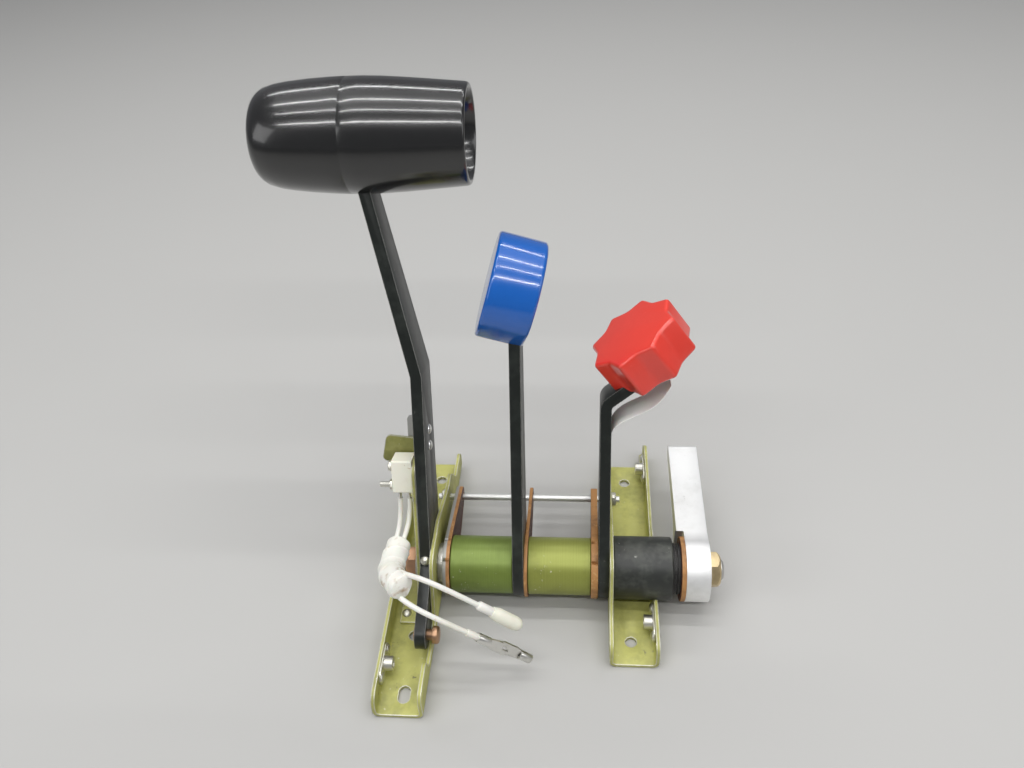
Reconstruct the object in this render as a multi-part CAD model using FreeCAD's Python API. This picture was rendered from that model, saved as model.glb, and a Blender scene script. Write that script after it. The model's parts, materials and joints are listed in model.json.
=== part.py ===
import FreeCAD, Part
import math
import os

# Throttle quadrant for a piston single: three hand levers on one friction-clamped pivot shaft
# between two channel brackets. X runs along the shaft, Y away from the pilot, Z up from the
# mounting face. Millimetres.

V = FreeCAD.Vector
TO_SIDE = FreeCAD.Placement(FreeCAD.Matrix(0, 0, 1, 0, 1, 0, 0, 0, 0, 1, 0, 0, 0, 0, 0, 1))
TO_FRONT = FreeCAD.Placement(FreeCAD.Matrix(1, 0, 0, 0, 0, 0, -1, 0, 0, 1, 0, 0, 0, 0, 0, 1))

# Fits
run_fit = 0.05
face_gap = 0.1
clear = 0.3

# Brackets
sheet = 1.6
bend_in = 1.6
flange_gap = 76.2
channel_w = 21.2
mount_pitch = 95.25
mount_r = 2.45
web_front = 59.0
web_rear = 59.5
left_front = 86.0
slot_y = -76.5
slot_long = 3.0
rear_run_on = 69.0

# Pivot shaft and the stack on it
shaft_y = -20.0
shaft_z = 18.0
shaft_r = 4.76
journal_r = 3.97
lever_t = 4.76
plate_t = 1.5
thrust_t = 3.0
spacer_r = 12.7
spacer_wall = 3.2
hub_r = 13.5
collar_r = 13.9
collar_len = 26.0
spigot_len = 3.5
spigot_r = 11.2
fibre_t = 2.0
fibre_r = 14.2
grip_hub_len = 10.4
nut_flats = 14.3
nut_t = 5.2

# Anchor rod for the friction plates
rod_y = 41.0
rod_r = 1.59
rod_end_r = 5.0

# Levers
lean = 20.0
lever_top_r = 6.5
prop_reach = 136.0
prop_knob_u = 126.0
prop_knob_r = 20.8
prop_knob_w = 18.4
prop_knob_tilt = 15.0
mix_bend_u = 84.0
mix_bend = 42.0
mix_knob_out = 25.0
mix_knob_t = 18.0
throttle_bend_u = 93.0
throttle_bend = 15.0
grip_u = 188.0
grip_x0 = -104.5
grip_x1 = -17.5
arm_y = -34.0
arm_z = -6.0
arm_r = 6.0
stud_r = 2.4

# Closed-throttle switch
ring_t = 0.6
switch_w = 9.0
switch_t0 = -8.0
switch_t1 = 2.4
switch_u0 = 39.0
switch_u1 = 54.0
plunger_u = 50.5
plunger_r = 1.3
plunger_out = 1.2
striker_t = 1.0
striker_low = 49.0
upright_top_t = -2.9
upright_top_u = 47.0
upright_top_r = 6.4
rivet_us = (58.5, 66.0)
core_r = 13.0
core_bore_r = 6.0
screw_spots = ((-5.4, 42.0), (-5.4, 51.0))

# Wires
wire_d = 2.2

side_in = flange_gap / 2
side_out = side_in + sheet
web_edge = side_in + channel_w
spacer_len = (flange_gap - thrust_t - 5 * plate_t - 2 * lever_t - 4 * face_gap) / 2
x_thrust = -side_in
x_left_plates = x_thrust + thrust_t
x_left_spacer = x_left_plates + 2 * plate_t
x_prop = x_left_spacer + spacer_len + face_gap
x_mid_plate = x_prop + lever_t + face_gap
x_right_spacer = x_mid_plate + plate_t
x_right_plates = x_right_spacer + spacer_len
x_mix = x_right_plates + 2 * plate_t + face_gap
x_collar = side_out
x_spigot = x_collar + collar_len
x_fibre = x_spigot + spigot_len
x_hub = x_fibre + fibre_t
x_nut = x_hub + grip_hub_len + face_gap
x_throttle = -side_out - 2 * face_gap - lever_t
x_ring = x_throttle - face_gap - ring_t
x_tower = x_ring - sheet
x_switch = x_tower - switch_w
over_upright = math.hypot(upright_top_t, upright_top_u) + upright_top_r + clear
throttle_top_u = grip_u + 5.5
x_in_grip = x_throttle + lever_t / 2 - (grip_u - throttle_bend_u) * math.tan(math.radians(throttle_bend))


def outline(corners):
    """Flat face whose corners (a, b, radius) are rounded by tangent arcs."""
    ends = []
    count = len(corners)
    for i, (a, b, r) in enumerate(corners):
        here = V(a, b, 0)
        if r == 0:
            ends.append((here, None, here))
            continue
        back = V(corners[i - 1][0], corners[i - 1][1], 0) - here
        ahead = V(corners[(i + 1) % count][0], corners[(i + 1) % count][1], 0) - here
        back.normalize()
        ahead.normalize()
        half = back.getAngle(ahead) / 2
        reach = r / math.tan(half)
        middle = back + ahead
        middle.normalize()
        crown = here + middle * (r / math.sin(half) - r)
        ends.append((here + back * reach, crown, here + ahead * reach))
    edges = []
    for i, (start, crown, stop) in enumerate(ends):
        if crown:
            edges.append(Part.Arc(start, crown, stop).toShape())
        following = ends[(i + 1) % count][0]
        if (following - stop).Length > 1e-6:
            edges.append(Part.makeLine(stop, following))
    return Part.Face(Part.Wire(edges))


def side(face, x0, thick):
    """Stand a (Y, Z) outline upright and give it thickness along X."""
    body = face.extrude(V(0, 0, thick))
    body.Placement = TO_SIDE
    body.translate(V(x0, 0, 0))
    return body


def front(face, y0, depth):
    """Stand an (X, Z) outline upright and give it depth along Y."""
    body = face.extrude(V(0, 0, -depth))
    body.Placement = TO_FRONT
    body.translate(V(0, y0, 0))
    return body


def rod(x0, length, r, y=0.0, z=0.0):
    return Part.makeCylinder(r, length, V(x0, y, z), V(1, 0, 0))


def ring(x0, length, r_out, r_in, y=0.0, z=0.0):
    return rod(x0, length, r_out, y, z).cut(rod(x0 - 1, length + 2, r_in, y, z))


def box(x0, x1, y0, y1, z0, z1):
    return Part.makeBox(x1 - x0, y1 - y0, z1 - z0, V(x0, y0, z0))


def link(y0, z0, r0, y1, z1, r1):
    """Plate outline: two circles joined by their outer tangents."""
    span = V(y1 - y0, z1 - z0, 0)
    along = math.atan2(span.y, span.x)
    swing = math.acos((r0 - r1) / span.Length)
    points = []
    for cy, cz, r, turns in ((y0, z0, r0, (swing, math.pi, -swing)),
                             (y1, z1, r1, (-swing, 0, swing))):
        for turn in turns:
            points.append(V(cy + r * math.cos(along + turn), cz + r * math.sin(along + turn), 0))
    big = Part.Arc(points[0], points[1], points[2]).toShape()
    small = Part.Arc(points[3], points[4], points[5]).toShape()
    joins = (Part.makeLine(points[2], points[3]), Part.makeLine(points[5], points[0]))
    return Part.Face(Part.Wire([big, joins[0], small, joins[1]]))


def nut(x0, thick, flats, bore):
    """Hexagon nut along X with its corners turned off."""
    corner = flats / math.cos(math.pi / 6) / 2
    points = [V(x0, corner * math.cos(k * math.pi / 3), corner * math.sin(k * math.pi / 3))
              for k in range(7)]
    body = Part.Face(Part.makePolygon(points)).extrude(V(thick, 0, 0))
    chamfer = 0.12 * flats
    cone = Part.makeCone(corner, corner - chamfer, chamfer, V(x0 + thick - chamfer, 0, 0), V(1, 0, 0))
    crown = rod(x0, thick - chamfer, corner).fuse(cone)
    return body.common(crown).cut(rod(x0 - 1, thick + 2, bore))


def at_shaft(shape):
    shape.translate(V(0, shaft_y, shaft_z))
    return shape


def rest(shape):
    """Lean a lever part, drawn upright on the shaft axis, back to its rest angle."""
    shape.rotate(V(0, 0, 0), V(1, 0, 0), -lean)
    return at_shaft(shape)


def solid(shape):
    clean = shape.removeSplitter()
    return clean.Solids[0] if len(clean.Solids) == 1 else Part.makeCompound(clean.Solids)


def save(name, shape):
    shape = solid(shape)
    shape.exportStep("parts/" + name + ".step")
    print(name, len(shape.Solids), round(shape.Volume, 1), shape.isValid())


def channel(side_sign, y0, y1, height):
    """Folded U channel with bend radii, open upward."""
    inner = side_in * side_sign
    outer = web_edge * side_sign
    a, b = min(inner, outer), max(inner, outer)
    out_r = bend_in + sheet
    shell = outline([(a, 0, out_r), (b, 0, out_r), (b, height, 0), (a, height, 0)])
    hollow = outline([(a + sheet, sheet, bend_in), (b - sheet, sheet, bend_in),
                      (b - sheet, height + 1, 0), (a + sheet, height + 1, 0)])
    return front(shell, y0, y1 - y0).cut(front(hollow, y0 - 1, y1 - y0 + 2))


lobe_top = 36.0
lobe_half = 14.0
low = 12.5


def inner_flange(y_front, front_steps):
    """Inner flange outline: low ends and a raised lobe round the shaft and anchor rod."""
    back = shaft_y + rod_y
    return front_steps + [(shaft_y - lobe_half, lobe_top, 9), (shaft_y + lobe_half - 4, lobe_top, 9),
                          (back - 4, 27, 10), (back + 8, 26, 5), (back + 19, low, 6),
                          (web_rear, low, 5), (web_rear, 0, 0), (y_front, 0, 0)]


def mount_hole(x, y):
    return Part.makeCylinder(mount_r, 4 * sheet, V(x, y, -sheet))


def nutplate_spots(sign):
    return [(-66.0, 8.0)] if sign < 0 else [(-41.5, 8.0), (52.0, 8.0)]


nutplate_long = 19.0
nutplate_rivet = 7.0
rivet_r = 1.2


def bracket(sign):
    y_front = -left_front if sign < 0 else -web_front
    steps = [(y_front, low + 2, 5), (-69.0, low + 2, 3), (-66.0, 6.4, 3), (-45.0, 6.4, 4)]
    if sign > 0:
        steps = [(y_front, low, 5), (-43.0, low + 1.5, 12)]
    rear = web_rear if sign < 0 else rear_run_on
    body = channel(sign, y_front, rear, 60)
    split = sign * (side_in + channel_w / 2)
    inner = side(outline(inner_flange(y_front, steps)), min(0, split), abs(split))
    tall = [(y_front, low - 1, 6), (shaft_y - 20, low + 1, 20), (shaft_y + 30, low + 1, 20),
            (rear - 8, low + 3, 9), (rear, low - 4, 4), (rear, 0, 0), (y_front, 0, 0)]
    outer = side(outline(tall), min(split, sign * 70), abs(70 - abs(split)))
    body = body.common(inner.fuse(outer))
    body = body.cut(at_shaft(rod(min(0, sign * 50), 50, shaft_r if sign > 0 else journal_r)))
    body = body.cut(at_shaft(rod(min(0, sign * 50), 50, rod_r, rod_y)))
    for y in (-mount_pitch / 2, mount_pitch / 2):
        body = body.cut(mount_hole(sign * mount_pitch / 2, y))
    for y, z in nutplate_spots(sign):
        x = sign * web_edge
        for dy, r in ((0, 2.1), (-nutplate_rivet, rivet_r), (nutplate_rivet, rivet_r)):
            body = body.cut(rod(min(x - sign * 3, x + sign * 3), 6, r, y + dy, z))
    if sign > 0:
        body = body.cut(at_shaft(rod(side_out + 4, 30, collar_r + 2 * clear)))
        body = body.cut(box(side_in - 1, web_edge - sheet - bend_in, web_rear, rear + 1, -1, 60))
    else:
        slot = box(-mount_pitch / 2 - mount_r, -mount_pitch / 2 + mount_r,
                   slot_y - slot_long / 2, slot_y + slot_long / 2, -1, 3)
        body = body.cut(slot)
        for end in (-1, 1):
            body = body.cut(mount_hole(-mount_pitch / 2, slot_y + end * slot_long / 2))
        for y in foot_rivets:
            body = body.cut(Part.makeCylinder(rivet_r, 6, V(foot_rivet_x, y, -2)))
    return body


foot_rivets = (-37.0, -2.0)
foot_rivet_x = -52.5


def rivet(base, axis, grip, r=rivet_r, tail=True):
    """Domed-head rivet: head at the base, shank running back along the axis."""
    axis = V(*axis)
    base = V(*base)
    head = 1.9 * r
    dome = Part.makeSphere(head * 1.25, base - axis * (head * 0.75))
    keep = Part.makeCylinder(head * 1.1, head, base, axis)
    body = dome.common(keep).fuse(Part.makeCylinder(r, grip, base, axis * -1))
    if tail:
        foot = base - axis * grip
        body = body.fuse(Part.makeCylinder(1.5 * r, 0.6 * r, foot - axis * 0.6 * r, axis))
    return body


def nutplates():
    plates = []
    rivets = []
    for sign in (-1, 1):
        face = sign * (web_edge - sheet)
        for y, z in nutplate_spots(sign):
            ear = outline([(y - nutplate_long / 2, z - 3.6, 3.5), (y + nutplate_long / 2, z - 3.6, 3.5),
                           (y + nutplate_long / 2, z + 3.6, 3.5), (y - nutplate_long / 2, z + 3.6, 3.5)])
            plate = side(ear, face - 0.9 if sign > 0 else face, 0.9)
            barrel = rod(face - 4.6 if sign > 0 else face, 4.6, 3.1, y, z)
            plate = plate.fuse(barrel).cut(rod(face - 8, 16, 1.9, y, z))
            for dy in (-nutplate_rivet, nutplate_rivet):
                plate = plate.cut(rod(face - 8, 16, rivet_r, y + dy, z))
                rivets.append(rivet((face - sign * 0.9, y + dy, z), (-sign, 0, 0), sheet + 0.9))
            plates.append(plate)
    return Part.makeCompound(plates), Part.makeCompound(rivets)


def pivot_shaft():
    """Shaft with a turned-down journal under the throttle lever and a chamfered threaded end."""
    end = x_nut + nut_t + 1.6
    profile = [V(-side_out, 0, 0), V(-side_out, 0, journal_r), V(-side_in, 0, journal_r),
               V(-side_in, 0, shaft_r), V(end - 1, 0, shaft_r), V(end, 0, shaft_r - 1), V(end, 0, 0)]
    left = x_tower - 8.2
    journal = [V(left, 0, 0), V(left, 0, journal_r - 0.8), V(left + 0.8, 0, journal_r)]
    points = journal + profile[1:] + [journal[0]]
    return at_shaft(Part.Face(Part.makePolygon(points)).revolve(V(0, 0, 0), V(1, 0, 0), 360))


def friction_plate(x0):
    """Link plate: free on the shaft, kept from turning by the anchor rod."""
    body = side(link(0, 0, hub_r + 0.5, rod_y, 0, rod_end_r), x0, plate_t)
    body = body.cut(rod(x0 - 1, plate_t + 2, shaft_r)).cut(rod(x0 - 1, plate_t + 2, rod_r, rod_y))
    return at_shaft(body)


def spacer(x0):
    """Turned spacer tube with broken end edges and a relief bore."""
    body = ring(x0, spacer_len, spacer_r, shaft_r)
    relief = ring(x0 + 5, spacer_len - 10, spacer_r - spacer_wall, shaft_r - 1)
    body = body.cut(relief.fuse(rod(x0 + 5, spacer_len - 10, shaft_r)))
    edges = [e for e in body.Edges if abs(e.Length - 2 * math.pi * spacer_r) < 0.01]
    return at_shaft(body.makeChamfer(0.4, edges))


def tie_rod():
    """Anchor rod through both inner flanges with a threaded tail at each end."""
    body = rod(-side_out - 4.2, 2 * side_out + 8.4, rod_r, rod_y)
    return at_shaft(body)


def tie_nuts():
    pair = []
    for x0 in (-side_out - 2.6, side_out):
        body = nut(0, 2.6, 6.3, rod_r)
        if x0 < 0:
            body = body.mirror(V(1.3, 0, 0), V(1, 0, 0))
        body.translate(V(x0, rod_y, 0))
        pair.append(at_shaft(body))
    return Part.makeCompound(pair)


def collar():
    """Turned sleeve over the shaft between the right flange and the friction lever."""
    body = ring(x_collar, collar_len, collar_r, shaft_r)
    rims = [e for e in body.Edges if abs(e.Length - 2 * math.pi * collar_r) < 0.01]
    body = body.makeChamfer(0.6, rims)
    hollow = ring(x_spigot - 6, 6, collar_r - 3, shaft_r - 1).fuse(rod(x_spigot - 6, 6, shaft_r))
    return at_shaft(body.cut(hollow))


def spigot():
    body = ring(x_spigot, spigot_len, spigot_r, shaft_r)
    body = body.fuse(ring(x_spigot - 6, 6.5, collar_r - 3, shaft_r))
    groove = ring(x_spigot + 1.2, 1.0, spigot_r + 1, spigot_r - 0.9)
    return at_shaft(body.cut(groove))


def fibre_washer():
    return at_shaft(ring(x_fibre, fibre_t, fibre_r, shaft_r))


friction_reach = 66.8
friction_rise = 12.0
friction_w = 13.6


def friction_lever():
    """Clamp lever: round hub, broad flat arm overhanging it, blended where they meet."""
    hub = rod(x_hub, grip_hub_len, collar_r + 0.3)
    arm = outline([(11.5, friction_rise, 0), (friction_reach, friction_rise + 1.0, 2.4),
                   (friction_reach, friction_rise - 5.6, 2.4), (24, 4.5, 16), (15.2, -3.0, 0),
                   (15.2, friction_rise - 4, 3)])
    x0 = x_hub + grip_hub_len - friction_w
    wide = side(arm, x0, friction_w)
    root = outline([(2, friction_rise + 1.6, 0), (11.5, friction_rise, 0), (20, friction_rise + 0.15, 0),
                    (20, 3.4, 0), (9, -9.5, 0), (0, 0, 0)])
    narrow = side(root, x_hub, grip_hub_len)
    body = hub.fuse(wide).fuse(narrow)
    body = body.cut(rod(x_hub - 1, grip_hub_len + 2, shaft_r + run_fit))
    return at_shaft(body)


def bar_profile(bend_u, bend, top_u, low_u):
    """Thickness outline of a flat bar in (X, up), bent to +X at one height."""
    half = lever_t / 2
    turn = math.radians(bend)
    shift = half * math.tan(turn / 2)
    run = (top_u - bend_u)
    tip = (run * math.sin(turn), bend_u + run * math.cos(turn))
    across = (half * math.cos(turn), -half * math.sin(turn))
    sharp = 3.0 + (lever_t if bend > 0 else 0)
    other = 3.0 + (lever_t if bend < 0 else 0)
    return outline([(-half, low_u, 0), (half, low_u, 0), (half, bend_u - shift, other),
                    (tip[0] + across[0], tip[1] + across[1], 0),
                    (tip[0] - across[0], tip[1] - across[1], 0),
                    (-half, bend_u + shift, sharp)])


def bar(x0, bend_u, bend, run_u, drop_u):
    """Bent lever blade: thickness outline cut to the tapered side outline."""
    turn = math.radians(bend)
    top_u = bend_u + (run_u - bend_u) * math.cos(turn)
    blade = front(bar_profile(bend_u, bend, run_u, -30), -40, 80)
    shape = side(link(0, 0, hub_r, 0, drop_u, lever_top_r), -80, 160)
    blade = blade.common(shape)
    blade.translate(V(x0 + lever_t / 2, 0, 0))
    return blade, top_u


def break_edges(body, size, u_low, u_high):
    """Round the long edges of a blade between two heights."""
    picked = []
    for edge in body.Edges:
        box_ = edge.BoundBox
        if box_.ZMin > u_low and box_.ZMax < u_high and box_.ZLength > 20:
            picked.append(edge)
    return body.makeFillet(size, picked) if picked else body


def bored(body, x0, r):
    return body.cut(rod(x0 - 1, lever_t + 2, r + run_fit))


def prop_lever():
    blade = side(link(0, 0, hub_r, 0, prop_reach, lever_top_r), x_prop, lever_t)
    return bored(blade, x_prop, shaft_r)


def prop_knob(blade):
    """Thick disc knob set a little askew on its lever, with a flat foot."""
    drop = 19.6
    half = prop_knob_w / 2
    disc = rod(-half, prop_knob_w, prop_knob_r)
    rims = [e for e in disc.Edges if e.Length > prop_knob_r * 6]
    disc = disc.makeFillet(1.6, rims)
    foot = outline([(-19.0, -drop, 2), (19.0, -drop, 2), (19.0, 22.0, 0), (-19.0, 22.0, 0)])
    disc = disc.common(side(foot, -half, prop_knob_w))
    disc.rotate(V(0, 0, 0), V(0, 1, 0), prop_knob_tilt)
    disc.translate(V(x_prop + lever_t / 2, 0, prop_knob_u))
    return disc.cut(blade)


def fluted(corner_r, valley_r, count, corner_round, valley_round):
    points = []
    for k in range(2 * count):
        reach, soft = (corner_r, corner_round) if k % 2 == 0 else (valley_r, valley_round)
        angle = math.pi * k / count
        points.append((reach * math.cos(angle), reach * math.sin(angle), soft))
    return outline(points)


def mixture_knob(blade):
    """Fluted six-lobed disc knob on the bent end of the mixture lever."""
    half = mix_knob_t / 2
    body = side(fluted(21.6, 14.9, 6, 3.2, 9.0), -half, mix_knob_t)
    rims = [e for e in body.Edges if abs(abs(e.CenterOfMass.x) - half) < 0.01]
    body = body.makeFillet(1.8, rims)
    turn = math.radians(mix_bend)
    body.rotate(V(0, 0, 0), V(0, 1, 0), mix_bend)
    body.translate(V(x_mix + lever_t / 2 + mix_knob_out * math.sin(turn), 0,
                     mix_bend_u + mix_knob_out * math.cos(turn)))
    return body.cut(blade)


def mixture_lever():
    reach = mix_bend_u + mix_knob_out + 9
    blade, _ = bar(x_mix, mix_bend_u, mix_bend, reach, mix_bend_u + 30)
    return bored(blade, x_mix, shaft_r)


def lever_tag():
    """Blank paper tag, curled outward from the mixture lever below its knob."""
    face = x_mix + lever_t
    paper = 0.5
    inner = Part.Arc(V(face, 0, 63), V(face + 10.5, 0, 70), V(face + 20.5, 0, 84)).toShape()
    outer = Part.Arc(V(face, 0, 63 - paper), V(face + 10.5 + 0.3, 0, 70 - 0.4),
                     V(face + 20.5 + paper, 0, 84)).toShape()
    ends = (Part.makeLine(V(face, 0, 63 - paper), V(face, 0, 63)),
            Part.makeLine(V(face + 20.5, 0, 84), V(face + 20.5 + paper, 0, 84)))
    sheet_face = Part.Face(Part.Wire([ends[0], inner, ends[1], outer]))
    body = sheet_face.extrude(V(0, 12, 0))
    body.translate(V(0, -6, 0))
    return body


def throttle_lever():
    """Bell-crank throttle lever: cranked blade to the grip and a short cable arm."""
    run = (throttle_top_u - throttle_bend_u) / math.cos(math.radians(throttle_bend))
    blade, _ = bar(x_throttle, throttle_bend_u, -throttle_bend, throttle_bend_u + run, throttle_top_u)
    arm = side(link(0, 0, hub_r, arm_y, arm_z, arm_r), x_throttle, lever_t)
    arm = arm.copy()
    arm.rotate(V(0, 0, 0), V(1, 0, 0), lean)
    body = bored(blade.fuse(arm), x_throttle, journal_r)
    stud = rod(x_throttle - 5, lever_t + 10, stud_r, arm_y, arm_z)
    stud.rotate(V(0, 0, 0), V(1, 0, 0), lean)
    body = body.cut(stud)
    for u in rivet_us:
        body = body.cut(rod(x_throttle - 1, lever_t + 2, rivet_r, 0, u))
    hole = set_screw(0)
    return body.cut(hole)


def set_screw(slack):
    """Domed screw and lock ring in the front edge of the throttle hub."""
    x = x_throttle + lever_t / 2
    shank = Part.makeCylinder(1.2 + slack, 8, V(x, 0, hub_r - 7.2), V(0, 0, 1))
    lock = Part.makeCylinder(2.1, 1.4, V(x, 0, hub_r - 0.2), V(0, 0, 1))
    dome = Part.makeSphere(2.4, V(x, 0, hub_r + 1.6)).common(
        Part.makeCylinder(2.2, 3, V(x, 0, hub_r + 1.2), V(0, 0, 1)))
    body = shank.fuse(lock).fuse(dome)
    body.rotate(V(0, 0, 0), V(1, 0, 0), 55)
    return body


def arm_stud():
    """Bronze cable stud through the throttle arm, headed on the inboard side."""
    x0 = x_throttle
    body = rod(x0 - 0.8, lever_t + 4.4, stud_r)
    head = rod(x0 + lever_t + 2.4, 2.9, 3.8)
    rims = [e for e in head.Edges if abs(e.CenterOfMass.x - (x0 + lever_t + 5.3)) < 0.01]
    body = body.fuse(head.makeFillet(1.2, rims))
    body = body.fuse(ring(x0 - 0.8, 0.8, 3.4, stud_r - 0.5))
    body.translate(V(0, shaft_y + arm_y, shaft_z + arm_z))
    return body


def grip_parts(blade):
    """Hollow barrel grip, its open end to the right, and the metal core on the lever."""
    length = grip_x1 - grip_x0
    stations = [(0, 0), (0, 12.5), (1.2, 15.8), (4.5, 18.4), (14, 20.4), (30, 21.7),
                (46, 22.0), (62, 21.2), (76, 20.0), (length - 1.2, 19.2), (length, 18.2)]
    curve = Part.BSplineCurve()
    curve.interpolate([V(grip_x0 + a, 0, b) for a, b in stations[1:-1]])
    mouth = grip_x0 + length
    lines = [Part.makeLine(V(grip_x0, 0, 0), V(grip_x0, 0, 12.5)), curve.toShape(),
             Part.makeLine(V(mouth - 1.2, 0, 19.2), V(mouth, 0, 18.2)),
             Part.makeLine(V(mouth, 0, 18.2), V(mouth, 0, 0)),
             Part.makeLine(V(mouth, 0, 0), V(grip_x0, 0, 0))]
    shell = Part.Face(Part.Wire(lines)).revolve(V(0, 0, 0), V(1, 0, 0), 360)
    bore = rod(grip_x0 + 12, length, core_r)
    throat = Part.makeCone(core_r, 16.6, 22, V(mouth - 22, 0, 0), V(1, 0, 0))
    seam = ring(grip_x0 + 40.4, 0.5, 24, 21.6)
    shell = shell.cut(bore).cut(throat).cut(seam)
    core = ring(grip_x0 + 14, length - 30, core_r, core_bore_r)
    core = core.fuse(rod(grip_x0 + 26, 34, core_r))
    lift = V(0, 0, grip_u)
    shell.translate(lift)
    core.translate(lift)
    slot = blade.copy()
    return shell.cut(slot), core.cut(slot)


def striker():
    """Angle tab riveted to the throttle lever; its leg meets the switch plunger."""
    t0 = switch_t1 + plunger_out
    leg = outline([(x_throttle - 17.5, striker_low, 2), (x_throttle - 15.0, striker_low + 12.5, 2.5),
                   (x_throttle, striker_low + 11.0, 0), (x_throttle, striker_low, 0)])
    wing = front(leg, t0, striker_t)
    foot = outline([(-4.0, over_upright + 1.8, 1.5), (t0 - 1.2, over_upright, 1.5),
                    (t0, striker_low, 0), (t0 + striker_t, striker_low, 0),
                    (t0 + striker_t, 70.0, 3), (-4.0, 70.0, 3)])
    base = side(foot, x_throttle - striker_t, striker_t)
    body = wing.fuse(base)
    for u in rivet_us:
        body = body.cut(rod(x_throttle - 6, 10, rivet_r, 0, u))
    return body


def striker_rivets():
    pair = []
    for u in rivet_us:
        pair.append(rivet((x_throttle + lever_t, 0, u), (1, 0, 0), lever_t + striker_t))
    return Part.makeCompound(pair)


def striker_pad():
    """Brown fibre backing strip behind the striker leg, standing above it."""
    t0 = switch_t1 + plunger_out + striker_t
    leg = outline([(x_throttle - 5.5, 52, 1), (x_throttle - 5.5, 70.0, 1.5),
                   (x_throttle, 70.0, 0), (x_throttle, 52, 0)])
    return front(leg, t0, 1.6)


def switch_tower():
    """Sheet upright that carries the switch, with a foot riveted to the left web."""
    upright = side(link(0, 0, 10.0, upright_top_t, upright_top_u, upright_top_r), x_tower, sheet)
    upright.rotate(V(0, 0, 0), V(1, 0, 0), -lean)
    at_shaft(upright)
    skirt = outline([(foot_rivets[0] - 5, sheet, 0), (foot_rivets[1] + 5, sheet, 0),
                     (shaft_y + 9.5, shaft_z + 4, 3), (shaft_y - 9.5, shaft_z + 4, 3)])
    upright = upright.fuse(side(skirt, x_tower, sheet))
    foot = box(x_tower - 8.0, x_tower + sheet, foot_rivets[0] - 5, foot_rivets[1] + 5, sheet, 2 * sheet)
    body = upright.fuse(foot)
    body = body.cut(at_shaft(rod(x_tower - 1, sheet + 2, journal_r)))
    for y in foot_rivets:
        body = body.cut(Part.makeCylinder(rivet_r, 6, V(foot_rivet_x, y, -1)))
    for t, u in screw_spots:
        body = body.cut(rest(rod(x_tower - 1, sheet + 2, 1.2, t, u)))
    return body


def tower_rivets():
    pair = []
    for y in foot_rivets:
        pair.append(rivet((foot_rivet_x, y, 2 * sheet), (0, 0, 1), 2 * sheet, tail=False))
    return Part.makeCompound(pair)


def switch_case():
    body = box(x_switch, x_tower, switch_t0, switch_t1, switch_u0, switch_u1)
    body = body.makeFillet(0.7, [e for e in body.Edges if e.CenterOfMass.x < x_tower - 0.1])
    body = body.cut(Part.makeCylinder(plunger_r + run_fit, 5,
                                      V(x_switch + switch_w / 2, switch_t1 - 4, plunger_u), V(0, 1, 0)))
    for t, u in screw_spots:
        body = body.cut(rod(x_switch - 1, switch_w + 2, 1.2, t, u))
    return body


def plunger():
    body = Part.makeCylinder(plunger_r, plunger_out - face_gap + 2.4,
                             V(x_switch + switch_w / 2, switch_t1 - 2.4, plunger_u), V(0, 1, 0))
    tip = [e for e in body.Edges if abs(e.CenterOfMass.y - (switch_t1 + plunger_out - face_gap)) < 0.01]
    return body.makeFillet(0.4, tip)


def switch_screws():
    pair = []
    for (t, u), tail in zip(screw_spots, (5.6, 1.6)):
        shank = rod(x_switch - tail, switch_w + sheet + tail, 1.2, t, u)
        foot = rod(x_tower + sheet, 0.3, 1.6, t, u)
        lock = nut(0, 1.4, 4.2, 1.2).mirror(V(0.7, 0, 0), V(1, 0, 0))
        lock.translate(V(x_switch - 1.4, t, u))
        pair.append(shank.fuse(foot).fuse(lock))
    return Part.makeCompound(pair)


blade_x = (2.4, 6.6)
blade_long = 4.0


def terminals():
    pair = []
    for dx in blade_x:
        x = x_switch + dx
        tab = box(x - 0.35, x + 0.35, switch_t0 + 2.6, switch_t0 + 5.6, switch_u0 - blade_long, switch_u0)
        pair.append(tab)
    return Part.makeCompound(pair)


def tube(points, d):
    """Round tube along straight runs joined by tangent arcs; returns solid, length, radii."""
    points = [V(*p) for p in points]
    edges = []
    radii = []
    last = points[0]
    for i in range(1, len(points) - 1):
        back = points[i - 1] - points[i]
        ahead = points[i + 1] - points[i]
        short = min(back.Length, ahead.Length)
        back.normalize()
        ahead.normalize()
        half = back.getAngle(ahead) / 2
        reach = 0.45 * short
        r = reach * math.tan(half)
        middle = back + ahead
        middle.normalize()
        crown = points[i] + middle * (r / math.sin(half) - r)
        start = points[i] + back * reach
        stop = points[i] + ahead * reach
        edges.append(Part.makeLine(last, start))
        edges.append(Part.Arc(start, crown, stop).toShape())
        radii.append(r)
        last = stop
    edges.append(Part.makeLine(last, points[-1]))
    spine = Part.Wire(edges)
    first = points[1] - points[0]
    section = Part.Wire([Part.makeCircle(d / 2, points[0], first)])
    body = spine.makePipeShell([section], True, False)
    body = Part.Solid(body) if body.ShapeType != "Solid" else body
    expected = math.pi * d * d / 4 * spine.Length
    print("tube length", round(spine.Length, 1), "radii", [round(r, 1) for r in radii],
          "volume ratio", round(body.Volume / expected, 3))
    return body


def along(shape, start, heading):
    """Carry a shape built up +Z from the origin onto a start point and heading."""
    shape = shape.copy()
    carry = FreeCAD.Placement(V(*start), FreeCAD.Rotation(V(0, 0, 1), V(*heading)))
    shape.Placement = carry.multiply(shape.Placement)
    return shape


def turned(points):
    """Solid of revolution about Z from (radius, height) points."""
    wire = Part.makePolygon([V(r, 0, z) for r, z in points] + [V(points[0][0], 0, points[0][1])])
    return Part.Face(wire).revolve(V(0, 0, 0), V(0, 0, 1), 360)


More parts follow.
